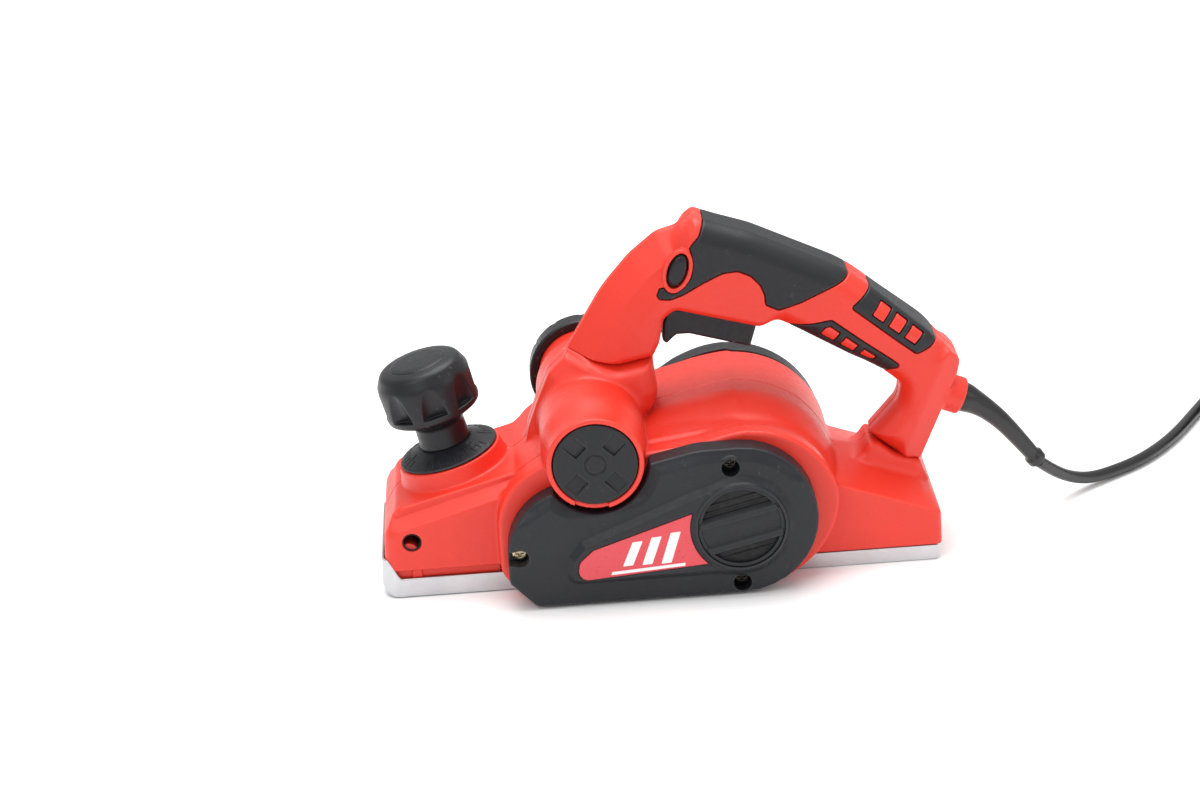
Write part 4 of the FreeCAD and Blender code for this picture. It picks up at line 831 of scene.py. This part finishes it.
LAND_LINE = [(-49, 12.4, 6), (-46.5, 27.5, 6), (-40, 35.6, 6), (20, 59.6, 8), (40, 60, 0), (40, 12.4, 0)]
LABEL_LINE = [
    (-43.6, 14.0, 5.5), (-41.8, 25.2, 5), (-34.5, 31.6, 6), (15.6, 47.6, 1), (30, 40, 0), (24.2, 18.8, 1),
]


def label_distance(s, grow):
    """The label's field: an outline with a round nose, hollowed where it meets the vent."""
    return carve(s.outline(LABEL_LINE), s.disc(*VENT, 24.6), 1.0) + np.float32(grow)


def cover_field(s):
    x, z = s.x, s.z
    flat = carve(s.outline(COVER), s.disc(*PORT, 26.8), 0.8)
    land = join(s.outline(LAND_LINE), s.disc(*VENT, 26.5), 3)
    height = 3.1 * np.clip(-land / 3.6, 0, 1)
    height = height - 1.0 * ease(-label_distance(s, 0), -0.3, 0.5)
    height = height + 0.8 * ease(-s.disc(*VENT, 23.8), 0, 1.2)
    edge_drop = 2.6 * (1 - np.clip((-flat - 1.2) / 4.6, 0, 1))
    height = height - edge_drop * ease(z - 0.1 * (x + 10), 50, 58)
    face = -s.y - (66.9 + height)
    solid = swept(flat, np.maximum(face, s.y + 40), 1.4)
    room = meet(flat + 2.5, (-s.y - 64.3), 1)
    solid = carve(solid, np.maximum(room, -s.disc(*PORT, 28.6)), 0.5)
    for px, pz in COVER_SCREWS:
        solid = join(solid, np.maximum(s.rod(px, pz, 6.2, -66.4, -52.4), flat + 0.6))
        solid = carve(solid, s.rod(px, pz, 4.4, -80, -58), 0.5)
        solid = carve(solid, s.rod(px, pz, 2.7, -80, -40), 0.3)
    notch = s.block((-80, -80, 24.4), (-70.3, -58, 31.8))
    solid = carve(solid, notch, 0.5)
    solid = carve(solid, s.rod(*VENT, 21.6, -80, -58), 0.4)
    return meet(solid, s.y + 52.2, 0.4)


def make_cover():
    """The belt cover."""
    space = Space((-80, -73, -1), (81, -50, 81), 0.45)
    moulded("cover_shell", space, cover_field(space), DARK, "planer", ("belt_cover",))


make_cover()


def make_vent():
    """The round grille with its two slats, and the dark plate behind it."""
    space = Space((14, -72.5, 13), (65, -59, 64), 0.35)
    tilt = radians(13)
    up = (space.z - VENT[1]) * cos(tilt) - (space.x - VENT[0]) * sin(tilt)
    within = space.disc(*VENT, 20.5)
    vent = carve(space.rod(*VENT, 21.5, -69.6, -65.6), space.rod(*VENT, 19.6, -80, -66.4), 0.4)
    for offset in (-7.6, 6.4):
        # a slat whose upper side leans back
        lean_back = (up - offset) * 0.8 + (-space.y - 69.3) * 0.6
        bar = np.maximum(np.maximum(np.abs(up - offset) - 2.3, space.between(-70.6, -66)), lean_back - 1.0)
        vent = join(vent, np.maximum(bar, within), 0.3)
    plate = np.maximum(np.abs(up + 0.6) - 6.4, np.maximum(within, space.between(-68.4, -66)))
    vent = join(vent, plate, 0.3)
    moulded("vent_grille", space, vent, DARK, "planer", ("vent_insert",))
    # behind the grille, a black disc with ribs: its black is painted shade of the vent's inside
    back = np.maximum(within, space.between(-67.4, -66.2))
    for offset in (-14.5, -11, 11, 14.5):
        ribbing = np.maximum(np.abs(up - offset) - 0.5, np.maximum(within, space.between(-68.1, -66.2)))
        back = join(back, ribbing)
    moulded("vent_back_painted_shade", space, back, BLACK_MARKS_AND_SHADE, "planer")


make_vent()


def cover_screws():
    """Three pan heads with cross recesses, sunk in the cover's holes; the two rear heads take a darker copy of
    the screw finish, painted shade of their deep holes.
    """
    for k, (px, pz) in enumerate(COVER_SCREWS):
        s = Space((px - 5, -62.5, pz - 5), (px + 5, -44, pz + 5), 0.25)
        head = swept(s.disc(px, pz, 3.8), np.maximum(-s.y - 59.4, s.y + 57.5), 0.9)
        cross = np.minimum(s.block((px - 2.1, -70, pz - 0.5), (px + 2.1, -58.4, pz + 0.5)),
                           s.block((px - 0.5, -70, pz - 2.1), (px + 0.5, -58.4, pz + 2.1)))
        head = join(carve(head, cross, 0.2), s.rod(px, pz, 2.0, -58, -45))
        # the two rear heads get the darker copy: painted shade
        finish, nodes = (SCREW, ("belt_cover_screws",)) if k == 0 else (SCREW_PAINTED_SHADE, ())
        moulded(f"cover_screw_{k}", s, head, finish, "planer", nodes, rounds=1)


cover_screws()


def flat_piece(name, outline, low, high, material):
    """A thin plate along Y from a rounded outline."""
    points = rounded(outline)
    count = len(points)
    vertices = [(p[0] * MM, y * MM, p[1] * MM) for y in (low, high) for p in points]
    faces = [list(range(count)), list(range(2 * count - 1, count - 1, -1))]
    faces += [[i, i + count, (i + 1) % count + count, (i + 1) % count] for i in range(count)]
    item = object_of(name, vertices, faces, material, "planer")
    for polygon in item.data.polygons:
        polygon.use_smooth = False


def make_label():
    """The label with plain stripes on it."""
    space = Space((-46, -70.6, 12), (26, -67, 50), 0.3)
    sheet = np.maximum(label_distance(space, 0.7), space.between(-69.3, -68.2))
    moulded("label_sheet", space, sheet, LABEL, "planer", ("label_plate",), rounds=1)
    for k in range(3):
        left = -20 + 9.5 * k
        flat_piece(f"label_stripe_{k}", [
            (left, 21.4, 0.3), (left + 5.4, 34.0 + 1.8 * k, 0.3), (left + 10.4, 34.4 + 1.8 * k, 0.3),
            (left + 5.0, 21.7, 0.3)], -69.42, -69.2, WHITE)
    flat_piece("label_rule", [(-26, 17.2, 0.2), (-25.4, 18.8, 0.2), (11, 21.0, 0.2), (10.6, 19.4, 0.2)],
               -69.42, -69.2, WHITE)


make_label()


# ---------------------------------------------------------------- outlet

def make_port_cap():
    """The near outlet's plug, with four notches and a ring in its face."""
    space = Space((-54, -70, 52), (-7, -50, 100), 0.4)
    disc = swept(space.disc(*PORT, 20.9), space.between(-68, -52.5), 0.9)
    for k in range(4):
        a = radians(45 + 90 * k)
        run = (space.x - PORT[0]) * cos(a) + (space.z - PORT[1]) * sin(a)
        across = (space.z - PORT[1]) * cos(a) - (space.x - PORT[0]) * sin(a)
        notch = np.maximum(np.abs(across) - 3.7, np.maximum(9.4 - run, run - 18.2))
        depth = -67.6 + (18.2 - run) * 0.14
        disc = carve(disc, np.maximum(notch, space.y - depth), 0.3)
    groove = np.abs(space.disc(*PORT, 5.0)) - 0.45
    disc = carve(disc, np.maximum(groove, space.y + 67.5), 0.2)
    disc = carve(disc, space.rod(*PORT, 19.4, -64.5, -50))
    moulded("port_cap", space, disc, FINE_DARK, "blanking_plug", ("port_plug",))


make_port_cap()


def make_collar():
    """The far outlet's hose collar, dented round its rim."""
    space = Space((-31, -31, -8), (31, 31, 15), 0.5)
    collar = spun(space, [
        (24.3, -6.5, 0.5), (24.3, 0.1, 0), (17.5, 2.5, 0.5), (17.5, 13, 0.5), (20, 13, 1), (22, 6.5, 2),
        (28.9, 5, 1.5), (28.9, -6.5, 1.2),
    ])
    for k in range(12):
        a = 2 * pi * k / 12
        dent = np.hypot(space.x - 30.6 * cos(a), space.y - 30.6 * sin(a)) - 2.2
        collar = carve(collar, np.maximum(dent, 1.5 - space.z), 0.5)
    place = Matrix.Translation((PORT[0] * MM, 0.062, PORT[1] * MM)) @ Matrix.Rotation(radians(-90), 4, "X")
    moulded("hose_collar", space, collar, FINE_DARK, "hose_adapter", ("port_adapter",), place)


make_collar()


# ---------------------------------------------------------------- motor cap

def make_motor_cap():
    """The far side's cap, with seven air slits and four screw posts."""
    space = Space((-12, 40.5, -2), (96, 62.5, 92), 0.7)
    dome = swept(space.disc(42, 39, 49.6), np.maximum(space.y - 58.5, 30 - space.y), 6.5)
    crown = space.outline([
        (-4, 50, 0), (-4, 74.6, 3), (9, 78.4, 6), (16, 82.6, 10), (42, 88.4, 0), (60, 60, 0),
    ])
    wedge = swept(crown, np.maximum(space.y - 53, 30 - space.y), 4.5)
    cap = join(dome, wedge, 4)
    ridge = swept(space.disc(*MOTOR, 20), np.maximum(space.y - 60, 30 - space.y), 1.5)
    cap = join(cap, ridge, 2)
    shell = meet(cap, -(cap + 2.8), 0.5)
    for k in range(7):
        height, inset = 63 - 7 * k, abs(3 - k)
        slit = space.block((61 - inset, 50, height - 1.2), (80 - 1.5 * inset, 70, height + 1.2))
        shell = carve(shell, slit, 0.5)
    for k in range(4):
        a = radians(45 + 90 * k)
        post = (MOTOR[0] + 34 * cos(a), MOTOR[1] + 34 * sin(a))
        shell = join(shell, space.rod(*post, 6.0, 44, 56))
        shell = carve(shell, space.rod(*post, 4.1, 55.5, 70), 0.4)
    shell = meet(shell, 42.1 - space.y, 0.3)
    shell = meet(shell, 8.2 - space.z, 0.6)
    moulded("motor_cap", space, shell, DARK, "planer", ("motor_end_cap",))


make_motor_cap()


# ---------------------------------------------------------------- depth adjuster

def make_knob():
    """The fluted depth knob on its neck."""
    space = Space((-27, -27, 4), (27, 27, 54), 0.45)
    knob = spun(space, [
        (0, 6.2, 0), (13.2, 6.2, 0.5), (12.6, 18, 4), (17, 20.6, 3), (23.9, 24.4, 2.2), (24.5, 30, 5),
        (24.1, 43, 9), (20.5, 50, 5), (12, 52, 12), (0, 52.3, 0),
    ])
    for k in range(8):
        a = 2 * pi * k / 8 + radians(6)
        reach = 28.9 + 0.21 * (space.z - 27)
        hollow = np.sqrt((space.x - reach * cos(a)) ** 2 + (space.y - reach * sin(a)) ** 2) - 8.7
        knob = carve(knob, np.maximum(hollow, 27.6 - space.z), 0.5)
    top_ring = spun(space, [(14.6, 51.0, 0), (15.3, 51.0, 0), (15.3, 54, 0), (14.6, 54, 0)])
    knob = carve(knob, top_ring, 0.4)
    knob = carve(knob, np.maximum(np.hypot(space.x, space.y) - 6.1, space.z - 20), 0.2)
    moulded("adjuster_knob", space, knob, FINE_DARK, "depth_adjuster", ("depth_knob",),
            KNOB_PLACE)


make_knob()


def make_dial():
    """The cone under the knob."""
    space = Space((-27, -27, -0.5), (27, 27, 7.5), 0.4)
    dial = spun(space, [
        (11.2, 0.4, 0), (25.4, 0.4, 0.4), (25.5, 1.4, 0.6), (14.2, 6.2, 1.2), (11.2, 6.2, 0.3),
    ])
    moulded("adjuster_dial", space, dial, DARK, "depth_adjuster", ("depth_dial",), KNOB_PLACE)


make_dial()


def dial_marks():
    """Short radial lines round the dial's cone, every fifth longer."""
    vertices, faces = [], []
    slant = atan2(6.2 - 1.4, 25.5 - 14.2)
    for k in range(36):
        if k % 12 in (10, 11):
            continue
        angle = 2 * pi * k / 36
        start, end = (16.6 if k % 5 == 0 else 19.6), 23.4
        base = len(vertices)
        for radius in (start, end):
            height = 1.4 + (25.5 - radius) * tan(slant)
            for lift in (-0.3, 0.16):
                for half in (-0.3, 0.3):
                    vertices.append(((radius * cos(angle) - half * sin(angle)) * MM,
                                     (radius * sin(angle) + half * cos(angle)) * MM, (height + lift) * MM))
        faces += [[base + i for i in quad] for quad in
                  ((0, 1, 3, 2), (4, 6, 7, 5), (0, 2, 6, 4), (1, 5, 7, 3), (2, 3, 7, 6), (0, 4, 5, 1))]
    vertices = [KNOB_PLACE @ Vector(v) for v in vertices]
    object_of("dial_marks", vertices, faces, BLACK_MARKS_AND_SHADE, "depth_adjuster")


dial_marks()


# ---------------------------------------------------------------- soles

def make_shoe():
    """The front shoe: a plate with V grooves, raised at its front edge."""
    space = Space((-142, -43, -2), (-60, 43, 23), 0.55)
    across = np.abs(space.y)
    plan = swept(-space.x - 140, across - HALF_WIDTH, 8.0)
    plate = space.outline([
        (-150, 0, 0), (-150, 10, 0), (-73, 10, 0.6), (-73, 5.5, 0), (-64, 5.5, 0), (-63, 0, 0),
    ])
    shoe = swept(plate, plan, 0.7)
    shoe = meet(shoe, 0.6 * (-space.x - 137.2) - 0.8 * space.z, 3.0)
    rise = 9.6 + 10.4 * ease(-space.x, 129.5, 137.5)
    lip = np.maximum(np.maximum(plan, -(plan + 1.3)), np.maximum(space.z - rise, 5 - space.z))
    shoe = join(shoe, np.maximum(lip, space.x + 128), 0.4)
    groove = np.maximum(np.abs(across - 37.7) - 1.9, np.maximum(5.6 - space.z, np.abs(space.x + 107) - 28.5))
    shoe = carve(shoe, groove, 0.2)
    for y, depth in ((-26, 0.9), (0, 2.6), (26, 0.9)):
        shoe = carve(shoe, (np.abs(space.y - y) + space.z - depth) * 0.7071, 0.2)
    moulded("shoe_plate", space, shoe, SOLE, "front_sole", ("front_shoe",))


make_shoe()


def make_thread():
    """The threaded insert for a side fence, coloured black as painted shade inside the hole."""
    space = Space((-130, -42, 23), (-118, -28, 36), 0.3)
    thread = carve(space.rod(*FENCE_HOLE, 4.6, -40.8, -29.2), space.disc(*FENCE_HOLE, 4.05))
    pitch = 1.25
    turn = np.arctan2(space.z - FENCE_HOLE[1], space.x - FENCE_HOLE[0]) / (2 * pi)
    coil = ((space.y + turn * pitch) / pitch) % 1 - 0.5
    thread = carve(thread, np.maximum(space.disc(*FENCE_HOLE, 4.35), np.abs(coil) * pitch - 0.3), 0.1)
    moulded("fence_thread", space, thread, BLACK_MARKS_AND_SHADE, "planer", rounds=1)


make_thread()


# ---------------------------------------------------------------- strain relief

def make_relief():
    """The tapered sleeve with its end ring, lofted along its sagging line."""
    route = [(152.5, 0, 73.2, 7.6), (160, 0, 69.8, 7.6), (166, 0.2, 66.2, 6.3), (172, 0.6, 61.6, 5.4),
             (180, 2, 53.5, 4.8), (190, 5, 40.5, 4.3), (199, 8, 28, 3.8)]
    line = np.array(route)
    vertices, faces = [], []
    rows, around = 90, 28
    for row in range(rows + 1):
        share = row / rows * (len(route) - 1)
        k = min(int(share), len(route) - 2)
        f = share - k
        p0, p1, p2, p3 = (line[min(max(k + d, 0), len(route) - 1)] for d in (-1, 0, 1, 2))
        first_order, second_order = p2 - p0, 2 * p0 - 5 * p1 + 4 * p2 - p3
        third_order = 3 * p1 - p0 - 3 * p2 + p3
        point = 0.5 * (2 * p1 + first_order * f + second_order * f * f + third_order * f ** 3)
        ahead = 0.5 * (first_order + 2 * second_order * f + 3 * third_order * f * f)
        direction = Vector(ahead[:3]).normalized()
        first = direction.cross(Vector((0, 1, 0))).normalized()
        second = direction.cross(first)
        radius = point[3] + (1.1 if 84 <= row <= 88 else 0)
        for turn in range(around):
            a = 2 * pi * turn / around
            vertices.append((Vector(point[:3]) + first * radius * cos(a) + second * radius * sin(a)) * MM)
    for row in range(rows):
        for turn in range(around):
            a, b = row * around + turn, row * around + (turn + 1) % around
            faces.append([a, b, b + around, a + around])
    faces.append(list(range(around))[::-1])
    faces.append([rows * around + t for t in range(around)])
    object_of("relief_sleeve", vertices, faces, CABLE, "planer", ("strain_relief",))


make_relief()


# ---------------------------------------------------------------- floor and light

def make_set():
    bpy.ops.mesh.primitive_plane_add(size=14, location=(0, 1.5, -0.0004))
    floor = bpy.context.object
    floor.name = "floor"
    paper = bpy.data.materials.new("pale_floor")
    paper.use_nodes = True
    shader = paper.node_tree.nodes["Principled BSDF"]
    shader.inputs["Base Color"].default_value = (0.93, 0.93, 0.93, 1)
    shader.inputs["Roughness"].default_value = 0.9
    floor.data.materials.append(paper)
    world = bpy.data.worlds.new("studio")
    bpy.context.scene.world = world
    world.use_nodes = True
    world.node_tree.nodes["Background"].inputs[0].default_value = (1, 1, 1, 1)
    world.node_tree.nodes["Background"].inputs[1].default_value = 0.7
    for name, place, size, power in (
        ("key", (-0.8, -1.2, 1.6), 1.3, 11),
        ("top", (0.1, 0.35, 1.7), 1.5, 34),
        ("side", (1.4, -0.9, 0.9), 1.0, 3),
    ):
        light = bpy.data.lights.new(name, "AREA")
        light.size, light.energy = size, power
        lamp = bpy.data.objects.new(name, light)
        lamp.location = place
        lamp.rotation_mode = "QUATERNION"
        lamp.rotation_quaternion = (Vector((0, 0, 0.08)) - Vector(place)).to_track_quat("-Z", "Y")
        bpy.context.scene.collection.objects.link(lamp)
    bpy.context.scene.view_settings.view_transform = "Standard"


make_set()
